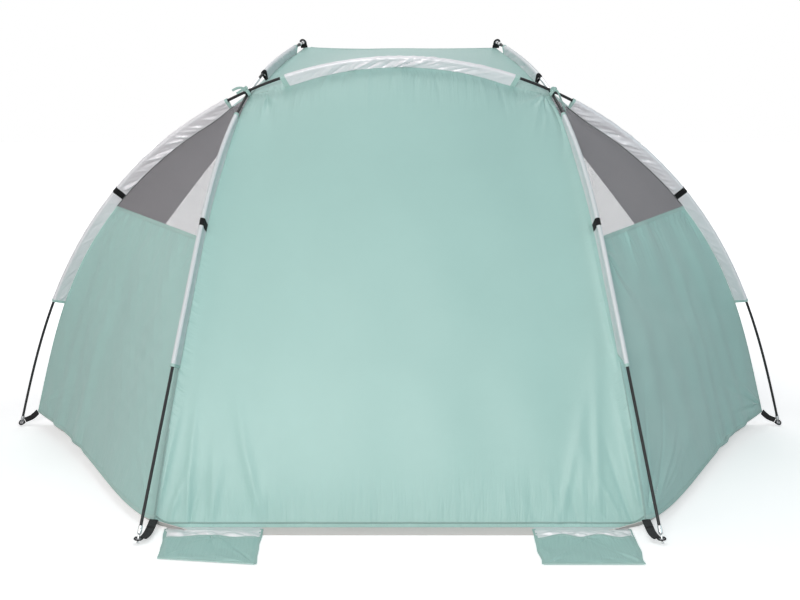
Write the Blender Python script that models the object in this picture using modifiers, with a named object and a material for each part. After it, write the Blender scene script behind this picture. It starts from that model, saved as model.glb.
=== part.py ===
"""A beach tent on three fibreglass poles, pitched, with its back wall towards -Y and its open
front towards +Y.

One long pole makes a hoop that leans back over the tent. Two shorter struts stand at the
rear corners, pass under the hoop and reach forward to hold up the awning. The fabric hangs
from sleeves on the poles and is held at its corners by webbing straps with eyelets.

Metres, +Z up. The origin is on the ground, midway between the rear and the front feet.
"""
import math

import bmesh
import bpy
import numpy as np
from mathutils import Matrix, Vector

# The whole tent
TENT_WIDTH = 2.500
TENT_DEPTH = 1.206
REAR_WIDTH = 1.270
HOOP_HEIGHT = 1.176
HOOP_LEAN = math.radians(27)

# How the poles bend
HOOP_FOOT_LEAN = math.radians(16)
HOOP_BEND_POWER = 2.0
HOOP_CROSS_SHARE = 0.774
HOOP_WINDOW_SHARE = 0.49
STRUT_BEND = math.radians(47.5)
STRUT_BEND_START_SHARE = 0.40
STRUT_BEND_END_SHARE = 0.97
STRUT_CROSS_SHARE = 0.74
STRUT_WINDOW_SHARE = 0.463

# How finely the curves are divided
CURVE_STEPS = 400
LOWER_STEPS = 8
UPPER_STEPS = 6
HALF_CROWN_STEPS = 8
AWNING_STEPS = 6
SIDE_STEPS = 8
ROUND_STEPS = 8
EYELET_STEPS = 10

# Clearances and cloth
GAP = 0.0003
CLOTH = 0.0010
SEAM_GAP = 0.00075
CUTTER_OVERRUN = 0.010

# Poles, their ferrules and the elastic cord inside them
POLE_RADIUS = 0.0040
POLE_BORE_RADIUS = 0.0022
HOOP_SECTIONS = 6
STRUT_SECTION_SHARE = 0.384
FERRULE_RADIUS = 0.0051
FERRULE_SOCKET_RADIUS = POLE_RADIUS + 1.6 * GAP
FERRULE_LENGTH = 0.070
CORD_RADIUS = 0.0012

# Metal tips at the pole ends
TIP_CUP_RADIUS = 0.0054
TIP_CUP_LENGTH = 0.022
TIP_CUP_DEPTH = 0.016
TIP_NECK_RADIUS = 0.0020
TIP_NECK_LENGTH = 0.016
TIP_KNOB_RADIUS = 0.0028
TIP_KNOB_LENGTH = 0.005

# Fabric corners, from the pole tip that each is strapped to
REAR_CORNER_IN = 0.018
REAR_CORNER_FORWARD = 0.130
REAR_CORNER_RISE = 0.018
FRONT_CORNER_IN = 0.055
FRONT_CORNER_FORWARD = 0.010
FRONT_CORNER_RISE = 0.042
AWNING_CORNER_DROP = 0.020
HOOP_SEAM_FADE = (2.0, 4.0)
STRUT_SEAM_FADE = (1.0, 3.0)
AWNING_SEAM_FADE = (1.0, 1.0)

# Where the seams lie under the poles
SEAM_DEPTH = 0.036
CROSSING_SEAM_RISE = 0.014
CROSSING_RISE_REACH = 0.150
CROWN_SEAM_DEPTH = 0.028
CROWN_BLEND = 0.300

# Pole sleeves, measured along each pole from its foot
SLEEVE_RADIUS = 0.0064
SLEEVE_CLOTH = 0.0007
SLEEVE_EDGE = 0.0012
HOOP_SLEEVE_START = 0.535
HOOP_TIE_PLACE = 1.000
HOOP_SLEEVE_STOP_BELOW_CROSSING = 0.060
CROWN_SLEEVE_START_PAST_CROSSING = 0.105
STRUT_SLEEVE_START = 0.445
STRUT_TIE_PLACE = 0.840
STRUT_SLEEVE_STOP_BELOW_CROSSING = 0.094
AWNING_SLEEVE_START_PAST_CROSSING = 0.085
AWNING_SLEEVE_STOP_BEFORE_TIP = 0.074

# Hook-and-loop ties and the tape that binds the crossings
TIE_WIDTH = 0.020
TIE_EXTRA = 0.0008
TIE_TAIL_LENGTH = 0.023
TIE_TAIL_WIDTH = 0.017
TIE_TAIL_THICKNESS = 0.0012
CROSSING_TAPE_WIDTH = 0.010
CROSSING_TAPE_THICKNESS = 0.0012

# Webbing straps and their eyelets
STRAP_WIDTH = 0.022
STRAP_THICKNESS = 0.0015
EYELET_RADIUS = 0.0072
EYELET_THICKNESS = 0.0026
EYELET_BORE_RADIUS = 0.0042
EYELET_HEIGHT_ON_TIP = 0.011

# Fabric panels
APEX_SHARE = 0.90
WING_FOOT_SHARE = 0.10
FREE_EDGE_BOW = 0.045
AWNING_SAG = 0.004
WALL_FOLDS = 5
WALL_FOLD_DEPTH = 0.006
WALL_FOLD_HEIGHT_SHARE = 0.12
SIDE_HEM_SWING_REAR = 0.026
SIDE_HEM_SWING_FRONT = 0.012
GROUND_MARGIN = 0.062
GROUND_LIFT_WIDTH_REAR = 0.040
GROUND_LIFT_WIDTH_FRONT = 0.110
GROUND_LIFT_POWER = 2.0
GROUND_EDGE_SHARES = (0.0, 0.020, 0.034, 0.100)
GROUND_INNER_SHARES = (0.20, 0.80)

# Sand pockets on the rear hem
POCKET_WIDTH = 0.240
POCKET_LENGTH = 0.275
POCKET_INSET = 0.183
POCKET_CENTRE = REAR_WIDTH / 2 - POCKET_INSET
POCKET_MOUTH_SETBACK = 0.072
POCKET_EDGE_HEIGHT = 0.0075
POCKET_CROWN_HEIGHT = 0.0140
POCKET_STEPS = 6

MODEL = "beach_tent"


def clear_scene():
    for item in list(bpy.data.objects):
        bpy.data.objects.remove(item, do_unlink=True)


def new_collection(name):
    collection = bpy.data.collections.new(name)
    bpy.context.scene.collection.children.link(collection)
    return collection


def finish_material(name, colour, roughness, metallic=0.0):
    material = bpy.data.materials.new(name)
    material.use_nodes = True
    shader = material.node_tree.nodes["Principled BSDF"]
    shader.inputs["Base Color"].default_value = (*colour, 1.0)
    shader.inputs["Roughness"].default_value = roughness
    shader.inputs["Metallic"].default_value = metallic
    return material


clear_scene()
parts = new_collection(MODEL)
cutters = new_collection("cutters")

FIBREGLASS = finish_material("dark_fibreglass", (0.045, 0.048, 0.05), 0.45)
METAL = finish_material("zinc_plated_steel", (0.62, 0.63, 0.64), 0.35, 1.0)
ELASTIC = finish_material("white_elastic", (0.75, 0.75, 0.73), 0.8)
MINT = finish_material("mint_polyester", (0.42, 0.60, 0.55), 0.65)
SILVER = finish_material("silver_coated_polyester", (0.58, 0.58, 0.61), 0.4)
NETTING = finish_material("black_netting", (0.05, 0.05, 0.05), 0.8)
GROUND_CLOTH = finish_material("grey_woven_groundsheet", (0.53, 0.53, 0.51), 0.6)
WEBBING = finish_material("black_webbing", (0.012, 0.012, 0.013), 0.85)


def add_object(name, mesh, material, collection=parts):
    item = bpy.data.objects.new(name, mesh)
    item.data.materials.clear()
    item.data.materials.append(material)
    collection.objects.link(item)
    return item


def as_mesh(item):
    """Turn a curve, or anything with modifiers, into a plain mesh with its caps welded."""
    bpy.context.view_layer.update()
    evaluated = item.evaluated_get(bpy.context.evaluated_depsgraph_get())
    mesh = bpy.data.meshes.new_from_object(evaluated)
    work = bmesh.new()
    work.from_mesh(mesh)
    bmesh.ops.remove_doubles(work, verts=work.verts, dist=GAP / 10)
    work.to_mesh(mesh)
    work.free()
    solid = bpy.data.objects.new(item.name, mesh)
    solid.matrix_world = item.matrix_world.copy()
    bpy.data.objects.remove(item, do_unlink=True)
    return solid


def place(solid, name, material, collection=parts):
    solid.name = name
    solid.data.materials.clear()
    solid.data.materials.append(material)
    collection.objects.link(solid)
    return solid


def smooth(item, angle=math.radians(40)):
    item.data.shade_smooth()
    item.data.set_sharp_from_angle(angle=angle)
    return item


def tube(name, points, radius, resolution=2):
    """A round bar through points, closed at both ends."""
    curve = bpy.data.curves.new(name, "CURVE")
    curve.dimensions = "3D"
    curve.bevel_depth = radius
    curve.bevel_resolution = resolution
    curve.use_fill_caps = True
    spline = curve.splines.new("POLY")
    spline.points.add(len(points) - 1)
    for spot, point in zip(spline.points, points):
        spot.co = (*point, 1.0)
    item = bpy.data.objects.new(name, curve)
    bpy.context.scene.collection.objects.link(item)
    return as_mesh(item)


def plate(name, outlines, thickness, matrix):
    """A flat piece cut to an outline, with any holes, stood on its own plane."""
    curve = bpy.data.curves.new(name, "CURVE")
    curve.dimensions = "2D"
    curve.fill_mode = "BOTH"
    curve.extrude = thickness / 2
    for outline in outlines:
        spline = curve.splines.new("POLY")
        spline.points.add(len(outline) - 1)
        spline.use_cyclic_u = True
        for spot, (across, along) in zip(spline.points, outline):
            spot.co = (across, along, 0.0, 1.0)
    item = bpy.data.objects.new(name, curve)
    bpy.context.scene.collection.objects.link(item)
    item.matrix_world = matrix
    return as_mesh(item)


def boolean(item, cutter, operation, solver="EXACT"):
    cutter.hide_render = True
    cutter.display_type = "WIRE"
    cutters.objects.link(cutter)
    modifier = item.modifiers.new(operation.lower(), "BOOLEAN")
    modifier.operation = operation
    modifier.object = cutter
    modifier.solver = solver


def unit(vector):
    return vector / np.linalg.norm(vector)


def distances(points):
    """How far along a run of points each point lies."""
    steps = np.linalg.norm(np.diff(points, axis=0), axis=1)
    return np.concatenate([[0.0], np.cumsum(steps)])


def shares_of(points):
    along = distances(points)
    return along / along[-1]


def pick(points, shares):
    """The points at the given shares of a run's length."""
    at = shares_of(points)
    return np.stack([np.interp(shares, at, points[:, axis]) for axis in range(3)], axis=1)


def between(start, stop, steps):
    return np.linspace(start, stop, steps + 1)


def mirrored(points):
    return points * np.array([-1.0, 1.0, 1.0])


def frame_matrix(origin, x_axis, y_axis, z_axis):
    matrix = Matrix.Identity(4)
    for column, axis in enumerate((x_axis, y_axis, z_axis, origin)):
        for row in range(3):
            matrix[row][column] = float(axis[row])
    return matrix


# The hoop: a springy pole bends little at its feet and most at its crown
REAR_FEET_Y = -TENT_DEPTH / 2
FRONT_FEET_Y = TENT_DEPTH / 2
FOOT_RISE = TIP_KNOB_RADIUS


def bent_hoop():
    """Half of the hoop in its own plane, from the foot, as half width and slant height."""
    run = np.linspace(0.0, 1.0, CURVE_STEPS)
    lean = HOOP_FOOT_LEAN + (math.pi / 2 - HOOP_FOOT_LEAN) * run ** HOOP_BEND_POWER
    inward = np.concatenate([[0.0], np.cumsum(np.sin(lean[:-1]))])
    upward = np.concatenate([[0.0], np.cumsum(np.cos(lean[:-1]))])
    half_width = TENT_WIDTH / 2 * (1.0 - inward / inward[-1])
    slant = (HOOP_HEIGHT - FOOT_RISE) / math.cos(HOOP_LEAN)
    return half_width, slant * upward / upward[-1]


def hoop_points():
    """The hoop's centre line at its stations, from the left foot to the right one."""
    half_width, slant = bent_hoop()
    back = FRONT_FEET_Y - slant * math.sin(HOOP_LEAN)
    height = FOOT_RISE + slant * math.cos(HOOP_LEAN)
    right = np.stack([half_width, back, height], axis=1)
    shares = np.concatenate([
        between(0.0, HOOP_WINDOW_SHARE, LOWER_STEPS),
        between(HOOP_WINDOW_SHARE, HOOP_CROSS_SHARE, UPPER_STEPS)[1:],
        between(HOOP_CROSS_SHARE, 1.0, HALF_CROWN_STEPS)[1:],
    ])
    right = pick(right, shares)
    return np.concatenate([mirrored(right), right[-2::-1]])


HOOP = hoop_points()
CROSS = LOWER_STEPS + UPPER_STEPS
HOOP_CROSSING = HOOP[CROSS]
HOOP_TANGENTS = np.gradient(HOOP, axis=0)
HOOP_PLANE_NORMAL = np.array([0.0, -math.cos(HOOP_LEAN), -math.sin(HOOP_LEAN)])


def hoop_inward(index):
    """Square to the hoop in its own plane, towards the middle of the tent."""
    return unit(np.cross(HOOP_PLANE_NORMAL, HOOP_TANGENTS[index]))


if hoop_inward(HALF_CROWN_STEPS + CROSS)[2] > 0:
    HOOP_PLANE_NORMAL = -HOOP_PLANE_NORMAL

REAR_FOOT = np.array([-REAR_WIDTH / 2, REAR_FEET_Y, FOOT_RISE])


def bent_strut():
    """The left strut, from its foot, in the upright plane through the foot and the crossing."""
    run = np.linspace(0.0, 1.0, CURVE_STEPS)
    spread = STRUT_BEND_END_SHARE - STRUT_BEND_START_SHARE
    turn = np.clip((run - STRUT_BEND_START_SHARE) / spread, 0.0, 1.0)
    angle = STRUT_BEND * (1.0 - turn * turn * (3.0 - 2.0 * turn))
    forward = np.concatenate([[0.0], np.cumsum(np.cos(angle[:-1]))])
    upward = np.concatenate([[0.0], np.cumsum(np.sin(angle[:-1]))])
    return forward, upward


def strut_points():
    """The left strut's centre line at its stations, passing just under the hoop."""
    forward, upward = bent_strut()
    under = HOOP_CROSSING + (2 * POLE_RADIUS + GAP) * hoop_inward(CROSS)
    ground_run = unit((under - REAR_FOOT) * np.array([1.0, 1.0, 0.0]))
    reach = np.array([np.dot(under - REAR_FOOT, ground_run), under[2] - REAR_FOOT[2]])
    cross = int(round(STRUT_CROSS_SHARE * (CURVE_STEPS - 1)))
    drawn = np.array([forward[cross], upward[cross]])
    scale = np.linalg.norm(reach) / np.linalg.norm(drawn)
    turn = math.atan2(reach[1], reach[0]) - math.atan2(drawn[1], drawn[0])
    run = scale * (forward * math.cos(turn) - upward * math.sin(turn))
    rise = scale * (forward * math.sin(turn) + upward * math.cos(turn))
    line = REAR_FOOT + np.outer(run, ground_run) + np.outer(rise, [0.0, 0.0, 1.0])
    cross_share = shares_of(line)[cross]
    shares = np.concatenate([
        between(0.0, STRUT_WINDOW_SHARE, LOWER_STEPS),
        between(STRUT_WINDOW_SHARE, cross_share, UPPER_STEPS)[1:],
        between(cross_share, 1.0, AWNING_STEPS)[1:],
    ])
    return pick(line, shares)


STRUT = strut_points()
STRUT_CROSSING = STRUT[CROSS]
STRUT_TIP = STRUT[-1]

# Fabric corners on the left side: where the panels, the groundsheet and a strap meet
UP = np.array([0.0, 0.0, 1.0])
HOOP_FOOT = HOOP[0]
REAR_CORNER = REAR_FOOT + np.array([REAR_CORNER_IN, REAR_CORNER_FORWARD, REAR_CORNER_RISE])
FRONT_CORNER = HOOP_FOOT + np.array([FRONT_CORNER_IN, FRONT_CORNER_FORWARD, FRONT_CORNER_RISE])
AWNING_CORNER = STRUT_TIP - AWNING_CORNER_DROP * UP

STRUT_TANGENTS = np.gradient(STRUT, axis=0)
CROSSING_OUTWARD = unit(np.cross(HOOP_TANGENTS[CROSS], STRUT_TANGENTS[CROSS]))
if CROSSING_OUTWARD[2] < 0:
    CROSSING_OUTWARD = -CROSSING_OUTWARD


def faded(start, stop, shares, powers):
    """A vector that turns from start to stop along a pole. A larger first power holds it at
    its start for longer, and a larger second one brings it sooner to its end."""
    weight = (1.0 - shares[:, None] ** powers[0]) ** powers[1]
    return stop + (start - stop) * weight


def raised(past):
    """How far a seam rises towards its pole near the crossing, by the distance from it."""
    near = np.clip(1.0 - past / CROSSING_RISE_REACH, 0.0, 1.0)
    rise = CROSSING_SEAM_RISE * near * near * (3.0 - 2.0 * near)
    return rise[:, None] * CROSSING_OUTWARD


def hoop_seam_points():
    """The seam that hangs from the hoop's sleeves, at the hoop's stations."""
    left = HOOP[: CROSS + 1]
    to_corner = FRONT_CORNER - HOOP_FOOT
    to_meeting = -SEAM_DEPTH * CROSSING_OUTWARD
    lower = left + faded(to_corner, to_meeting, shares_of(left), HOOP_SEAM_FADE)
    lower = lower + raised(distances(left)[-1] - distances(left))
    crown = []
    past = distances(HOOP[CROSS:])
    rise = raised(past)
    for step in range(1, HALF_CROWN_STEPS + 1):
        blend = min(1.0, past[step] / CROWN_BLEND)
        blend = blend * blend * (3.0 - 2.0 * blend)
        square = CROWN_SEAM_DEPTH * hoop_inward(CROSS + step)
        seam = HOOP[CROSS + step] + (1.0 - blend) * to_meeting + blend * square
        crown.append(seam + rise[step])
    half = np.concatenate([lower, np.array(crown)])
    return np.concatenate([half, mirrored(half)[-2::-1]])


def strut_seam_points():
    """The seam that hangs from the left strut's sleeves, at the strut's stations."""
    left = STRUT[: CROSS + 1]
    to_meeting = HOOP_CROSSING - SEAM_DEPTH * CROSSING_OUTWARD - STRUT_CROSSING
    to_corner = REAR_CORNER - REAR_FOOT
    lower = left + faded(to_corner, to_meeting, shares_of(left), STRUT_SEAM_FADE)
    lower = lower + raised(distances(left)[-1] - distances(left))
    reach = STRUT[CROSS:]
    to_awning = AWNING_CORNER - STRUT_TIP
    upper = reach + faded(to_meeting, to_awning, shares_of(reach), AWNING_SEAM_FADE)
    upper = upper + raised(distances(reach))
    return np.concatenate([lower, upper[1:]])


HOOP_SEAM = hoop_seam_points()
STRUT_SEAM = strut_seam_points()


class Rail:
    """A pole's centre line with the seam beside it. Every piece on the pole is cut from the
    same straight steps, so that neighbours keep their clearance all along."""

    def __init__(self, points, seam):
        self.points = points
        self.seam = seam
        self.along = distances(points)
        self.length = self.along[-1]
        tangents = np.gradient(points, axis=0)
        self.across = []
        self.side = []
        for tangent, point, edge in zip(tangents, points, seam):
            tangent = unit(tangent)
            reach = edge - point
            self.across.append(unit(reach - np.dot(reach, tangent) * tangent))
            self.side.append(unit(np.cross(tangent, self.across[-1])))

    def mix(self, place_on_pole, at_station):
        """A value at any place, blended from the values at the stations on either side."""
        index = int(np.searchsorted(self.along, place_on_pole, side="right")) - 1
        index = min(max(index, 0), len(self.along) - 2)
        step = self.along[index + 1] - self.along[index]
        share = (place_on_pole - self.along[index]) / step
        return (1.0 - share) * at_station(index) + share * at_station(index + 1)

    def point(self, place_on_pole):
        return self.mix(place_on_pole, lambda index: self.points[index])

    def places(self, start, stop):
        """Start, stop and the stations between them."""
        inside = [a for a in self.along if start + CLOTH < a < stop - CLOTH]
        return [start, *inside, stop]

    def line(self, start, stop):
        return [self.point(a) for a in self.places(start, stop)]

    def direction(self, start, stop):
        return unit(self.point(stop) - self.point(start))


HOOP_RAIL = Rail(HOOP, HOOP_SEAM)
LEFT_STRUT_RAIL = Rail(STRUT, STRUT_SEAM)
RIGHT_STRUT_RAIL = Rail(mirrored(STRUT), mirrored(STRUT_SEAM))
HOOP_CROSS_PLACE = HOOP_RAIL.along[CROSS]
STRUT_CROSS_PLACE = LEFT_STRUT_RAIL.along[CROSS]

# The part of each tip that stands beyond the end of its pole
TIP_REACH = TIP_KNOB_LENGTH + TIP_NECK_LENGTH + TIP_CUP_LENGTH - TIP_CUP_DEPTH


def pole_section(name, rail, start, stop, has_ferrule):
    """A hollow length of pole. All but a pole's last length end in a metal ferrule that is
    glued on and takes the next length."""
    sleeve_reach = FERRULE_LENGTH / 2
    section = place(tube(name, rail.line(start, stop), POLE_RADIUS), name, FIBREGLASS)
    bore_stop = stop + CUTTER_OVERRUN
    if has_ferrule:
        ferrule = tube(name + "_ferrule", rail.line(stop - sleeve_reach, stop + sleeve_reach),
                       FERRULE_RADIUS)
        boolean(section, ferrule, "UNION", "MANIFOLD")
        socket = tube(name + "_socket", rail.line(stop, stop + sleeve_reach + CUTTER_OVERRUN),
                      FERRULE_SOCKET_RADIUS)
        boolean(section, socket, "DIFFERENCE", "MANIFOLD")
    bore = tube(name + "_bore", rail.line(start - CUTTER_OVERRUN, bore_stop), POLE_BORE_RADIUS,
                resolution=1)
    boolean(section, bore, "DIFFERENCE", "MANIFOLD")
    return smooth(section)


def pole(name, rail, joins):
    """A pole of several lengths, with the elastic cord that strings them together."""
    ends = [TIP_REACH + GAP, *joins, rail.length - TIP_REACH - GAP]
    for number, (start, stop) in enumerate(zip(ends[:-1], ends[1:]), start=1):
        first = start + GAP if number > 1 else start
        is_last = number == len(ends) - 1
        pole_section(f"{name}_section_{number}", rail, first, stop, not is_last)
    cord = tube(name + "_shock_cord", rail.line(ends[0], ends[-1]), CORD_RADIUS, resolution=1)
    place(cord, name + "_shock_cord", ELASTIC)


def pole_tip(name, rail, at_start):
    """A turned metal tip: a cup over the pole's end, a thin neck and a blunt knob."""
    neck_top = TIP_KNOB_LENGTH + TIP_NECK_LENGTH
    cup_floor = neck_top + TIP_CUP_LENGTH - TIP_CUP_DEPTH
    cup_rim = neck_top + TIP_CUP_LENGTH
    cup_bore = FERRULE_SOCKET_RADIUS
    profile = [
        (0.0, cup_floor),
        (cup_bore, cup_floor),
        (cup_bore, cup_rim),
        (TIP_CUP_RADIUS, cup_rim),
        (TIP_CUP_RADIUS, neck_top + TIP_CUP_RADIUS - TIP_NECK_RADIUS),
        (TIP_NECK_RADIUS, neck_top),
        (TIP_NECK_RADIUS, TIP_KNOB_LENGTH),
        (TIP_KNOB_RADIUS, TIP_KNOB_LENGTH / 2),
        (TIP_NECK_RADIUS, 0.0),
        (0.0, 0.0),
    ]
    mesh = bpy.data.meshes.new(name)
    edges = [(index, index + 1) for index in range(len(profile) - 1)]
    mesh.from_pydata([(radius, 0.0, height) for radius, height in profile], edges, [])
    item = add_object(name, mesh, METAL)
    turn = item.modifiers.new("turned", "SCREW")
    turn.axis = "Z"
    turn.steps = ROUND_STEPS
    turn.render_steps = ROUND_STEPS
    turn.use_merge_vertices = True
    turn.merge_threshold = GAP / 10
    turn.use_normal_calculate = True
    end = rail.points[0] if at_start else rail.points[-1]
    inner = rail.points[1] if at_start else rail.points[-2]
    axis = unit(inner - end)
    side = unit(np.cross(axis, UP))
    item.matrix_world = frame_matrix(end, side, np.cross(axis, side), axis)
    return end, axis


def strap(name, tip_end, tip_axis, corner, stand_off):
    """A webbing strap from a fabric corner to a pole tip, with an eyelet over the tip's neck."""
    eyelet = tip_end + EYELET_HEIGHT_ON_TIP * tip_axis
    reach = corner - eyelet
    length = np.linalg.norm(reach) - stand_off
    along = unit(reach)
    normal = unit(tip_axis - np.dot(tip_axis, along) * along)
    matrix = frame_matrix(eyelet, along, np.cross(normal, along), normal)
    half = STRAP_WIDTH / 2
    outline = [(length, -half), (length, half)]
    for angle in between(math.pi / 2, 3 * math.pi / 2, EYELET_STEPS // 2):
        outline.append((half * math.cos(angle), half * math.sin(angle)))
    band = place(plate(name, [outline], STRAP_THICKNESS, matrix), name, WEBBING)
    circle = between(0.0, 2 * math.pi, EYELET_STEPS)[:-1]
    ring = [(EYELET_RADIUS * math.cos(a), EYELET_RADIUS * math.sin(a)) for a in circle]
    boolean(band, plate(name + "_ring", [ring], EYELET_THICKNESS, matrix), "UNION")
    hole = [(EYELET_BORE_RADIUS * math.cos(a), EYELET_BORE_RADIUS * math.sin(a)) for a in circle]
    cut = plate(name + "_hole", [hole], EYELET_THICKNESS + CUTTER_OVERRUN, matrix)
    boolean(band, cut, "DIFFERENCE")


def surface(name, grid, closed_ring=False):
    """An open surface through rows of points, as a mesh to be given its thickness."""
    rows, columns = grid.shape[:2]
    mesh = bpy.data.meshes.new(name)
    work = bmesh.new()
    corners = [[work.verts.new(point) for point in row] for row in grid]
    last = columns if closed_ring else columns - 1
    for row in range(rows - 1):
        for column in range(last):
            following = (column + 1) % columns
            work.faces.new([
                corners[row][column],
                corners[row][following],
                corners[row + 1][following],
                corners[row + 1][column],
            ])
    work.to_mesh(mesh)
    work.free()
    return mesh


def thicken(item, thickness, offset):
    wall = item.modifiers.new("cloth", "SOLIDIFY")
    wall.thickness = thickness
    wall.offset = offset
    wall.use_even_offset = True
    wall.use_quality_normals = True


def sleeve_ring(rail, index, radius, half_edge):
    """A sleeve's outline at a station: round over the pole, drawn to an edge at the seam."""
    point = rail.points[index]
    across = rail.across[index]
    side = rail.side[index]
    seam = rail.seam[index]
    stand_off = CLOTH / 2 + 2 * GAP
    edge = seam - stand_off * unit(seam - point)
    ring = []
    for angle in between(-math.pi / 2, math.pi / 2, ROUND_STEPS - 2):
        ring.append(point - radius * math.cos(angle) * across + radius * math.sin(angle) * side)
    ring.append(edge + half_edge * side)
    ring.append(edge - half_edge * side)
    return np.array(ring)


def wrapped(name, rail, start, stop, radius, half_edge, cloth, material):
    """A folded strip of cloth round the pole, open at both ends."""
    rings = []
    for place_on_pole in rail.places(start, stop):
        rings.append(rail.mix(place_on_pole,
                              lambda index: sleeve_ring(rail, index, radius, half_edge)))
    item = add_object(name, surface(name, np.array(rings), closed_ring=True), material)
    thicken(item, cloth, -1.0)
    outward_check(item, rail.mix(start, lambda index: rail.points[index]))
    return smooth(item)


def outward_check(item, inner_point):
    """Turn the faces of a ring so that they look away from the pole."""
    face = item.data.polygons[0]
    away = face.center - Vector(inner_point)
    if face.normal.dot(away) < 0:
        item.data.flip_normals()


def sleeve(name, rail, start, stop):
    wrapped(name, rail, start, stop, SLEEVE_RADIUS, SLEEVE_EDGE, SLEEVE_CLOTH, SILVER)


def tie(name, rail, middle, outer_side):
    """A hook-and-loop strap round the pole between two sleeves, and its loose end."""
    start = middle - TIE_WIDTH / 2
    stop = middle + TIE_WIDTH / 2
    radius = SLEEVE_RADIUS + TIE_EXTRA
    half_edge = SLEEVE_EDGE + TIE_EXTRA
    wrapped(name + "_band", rail, start, stop, radius, half_edge, CLOTH, WEBBING)
    ring = rail.mix(middle, lambda index: sleeve_ring(rail, index, radius, half_edge))
    near, far = (ring[ROUND_STEPS - 2], ring[-2]) if outer_side > 0 else (ring[0], ring[-1])
    away = outer_side * rail.mix(middle, lambda index: rail.side[index])
    down = unit(far - near)
    lengthwise = rail.direction(start, stop)
    lengthwise = unit(lengthwise - np.dot(lengthwise, down) * down)
    outward = unit(np.cross(down, lengthwise))
    if np.dot(outward, away) < 0:
        outward = -outward
    stand_off = TIE_TAIL_THICKNESS / 2 + 1.5 * GAP
    hinge = near + stand_off * outward
    half = TIE_TAIL_WIDTH / 2
    round_end = TIE_TAIL_LENGTH - half / 2
    outline = [(0.0, half), (0.0, -half), (round_end, -half)]
    outline += [(TIE_TAIL_LENGTH, -half / 2), (TIE_TAIL_LENGTH, half / 2), (round_end, half)]
    matrix = frame_matrix(hinge, down, np.cross(outward, down), outward)
    tail = place(plate(name + "_tail", [outline], TIE_TAIL_THICKNESS, matrix),
                 name + "_tail", WEBBING)
    return tail


def crossing_tie(name, flip):
    """A mint tape bound round both poles where they cross, sewn to the fabric below."""
    hoop_way = unit(HOOP_TANGENTS[CROSS])
    strut_way = unit(STRUT_TANGENTS[CROSS])
    if np.dot(hoop_way, strut_way) < 0:
        hoop_way = -hoop_way
    middle_way = unit(hoop_way + strut_way)
    outward = CROSSING_OUTWARD
    half_angle = math.acos(min(1.0, float(np.dot(hoop_way, middle_way))))
    skew_room = CROSSING_TAPE_WIDTH / 2 * math.tan(half_angle)
    half_bore = POLE_RADIUS / math.cos(half_angle) + skew_room + 2 * GAP
    top = POLE_RADIUS + 2 * GAP
    bottom = -3 * POLE_RADIUS - 4 * GAP
    tape = CROSSING_TAPE_THICKNESS
    corner = POLE_RADIUS / 2
    hole = [
        (half_bore, bottom), (half_bore, top - corner), (half_bore - corner, top),
        (corner - half_bore, top), (-half_bore, top - corner), (-half_bore, bottom),
    ]
    out = half_bore + tape
    tab = tape / 2
    end = CLOTH / 2 + 3 * GAP + CROSSING_SEAM_RISE - SEAM_DEPTH
    outline = [
        (out, bottom - tape), (out, top - corner + tape / 2), (out - corner, top + tape),
        (corner - out, top + tape), (-out, top - corner + tape / 2), (-out, bottom - tape),
        (-tab, bottom - tape), (-tab, end), (tab, end), (tab, bottom - tape),
    ]
    sideways = np.cross(outward, middle_way)
    origin = HOOP_CROSSING
    axes = [sideways, outward, np.cross(sideways, outward)]
    if flip:
        origin = mirrored(origin)
        axes = [-mirrored(axes[0]), mirrored(axes[1]), None]
        axes[2] = np.cross(axes[0], axes[1])
    matrix = frame_matrix(origin, *axes)
    place(plate(name, [outline, hole], CROSSING_TAPE_WIDTH, matrix), name, MINT)


def coons(bottom, top, left, right):
    """A smooth sheet through four edges. Bottom and top run one way, left and right up."""
    across = ((shares_of(bottom) + shares_of(top)) / 2)[None, :, None]
    upward = ((shares_of(left) + shares_of(right)) / 2)[:, None, None]
    ruled_up = (1 - upward) * bottom[None] + upward * top[None]
    ruled_across = (1 - across) * left[:, None] + across * right[:, None]
    corners = (1 - upward) * ((1 - across) * bottom[0] + across * bottom[-1])
    corners = corners + upward * ((1 - across) * top[0] + across * top[-1])
    return ruled_up + ruled_across - corners


def drawn_in(grid):
    """Pull a sheet's edges in from its seams by the seam gap."""
    grid = grid.copy()
    for edge, inner in ((0, 1), (-1, -2)):
        pull = grid[inner] - grid[edge]
        grid[edge] += SEAM_GAP * pull / np.linalg.norm(pull, axis=1)[:, None]
    for edge, inner in ((0, 1), (-1, -2)):
        pull = grid[:, inner] - grid[:, edge]
        grid[:, edge] += SEAM_GAP * pull / np.linalg.norm(pull, axis=1)[:, None]
    return grid


def sheet(name, grid, material):
    item = add_object(name, surface(name, grid), material)
    thicken(item, CLOTH, 0.0)
    return smooth(item)


def both_sides(name, grid, material):
    """The same panel on the left and, mirrored, on the right."""
    sheet("left_" + name, grid, material)
    sheet("right_" + name, mirrored(grid)[:, ::-1], material)


def straight(start, stop, shares):
    return start + np.outer(shares, stop - start)


def halved(points):
    """The same run with a point added at the middle of each step."""
    middles = (points[1:] + points[:-1]) / 2
    run = np.empty((len(points) + len(middles), 3))
    run[0::2] = points
    run[1::2] = middles
    return run


# Edges that the panels share. The hem rests on the groundsheet and rises to its corners
HEM_REST = CLOTH + GAP
CROWN_SEAM = HOOP_SEAM[CROSS: CROSS + 2 * HALF_CROWN_STEPS + 1]
WALL_TOP = halved(CROWN_SEAM)


def corner_lift(shares, half_width, lift_width):
    """How much of a corner's rise is left at each place across, falling away from both ends."""
    inset = np.minimum(shares, 1.0 - shares) * 2 * half_width
    return np.clip(1.0 - inset / lift_width, 0.0, 1.0) ** GROUND_LIFT_POWER


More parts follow.
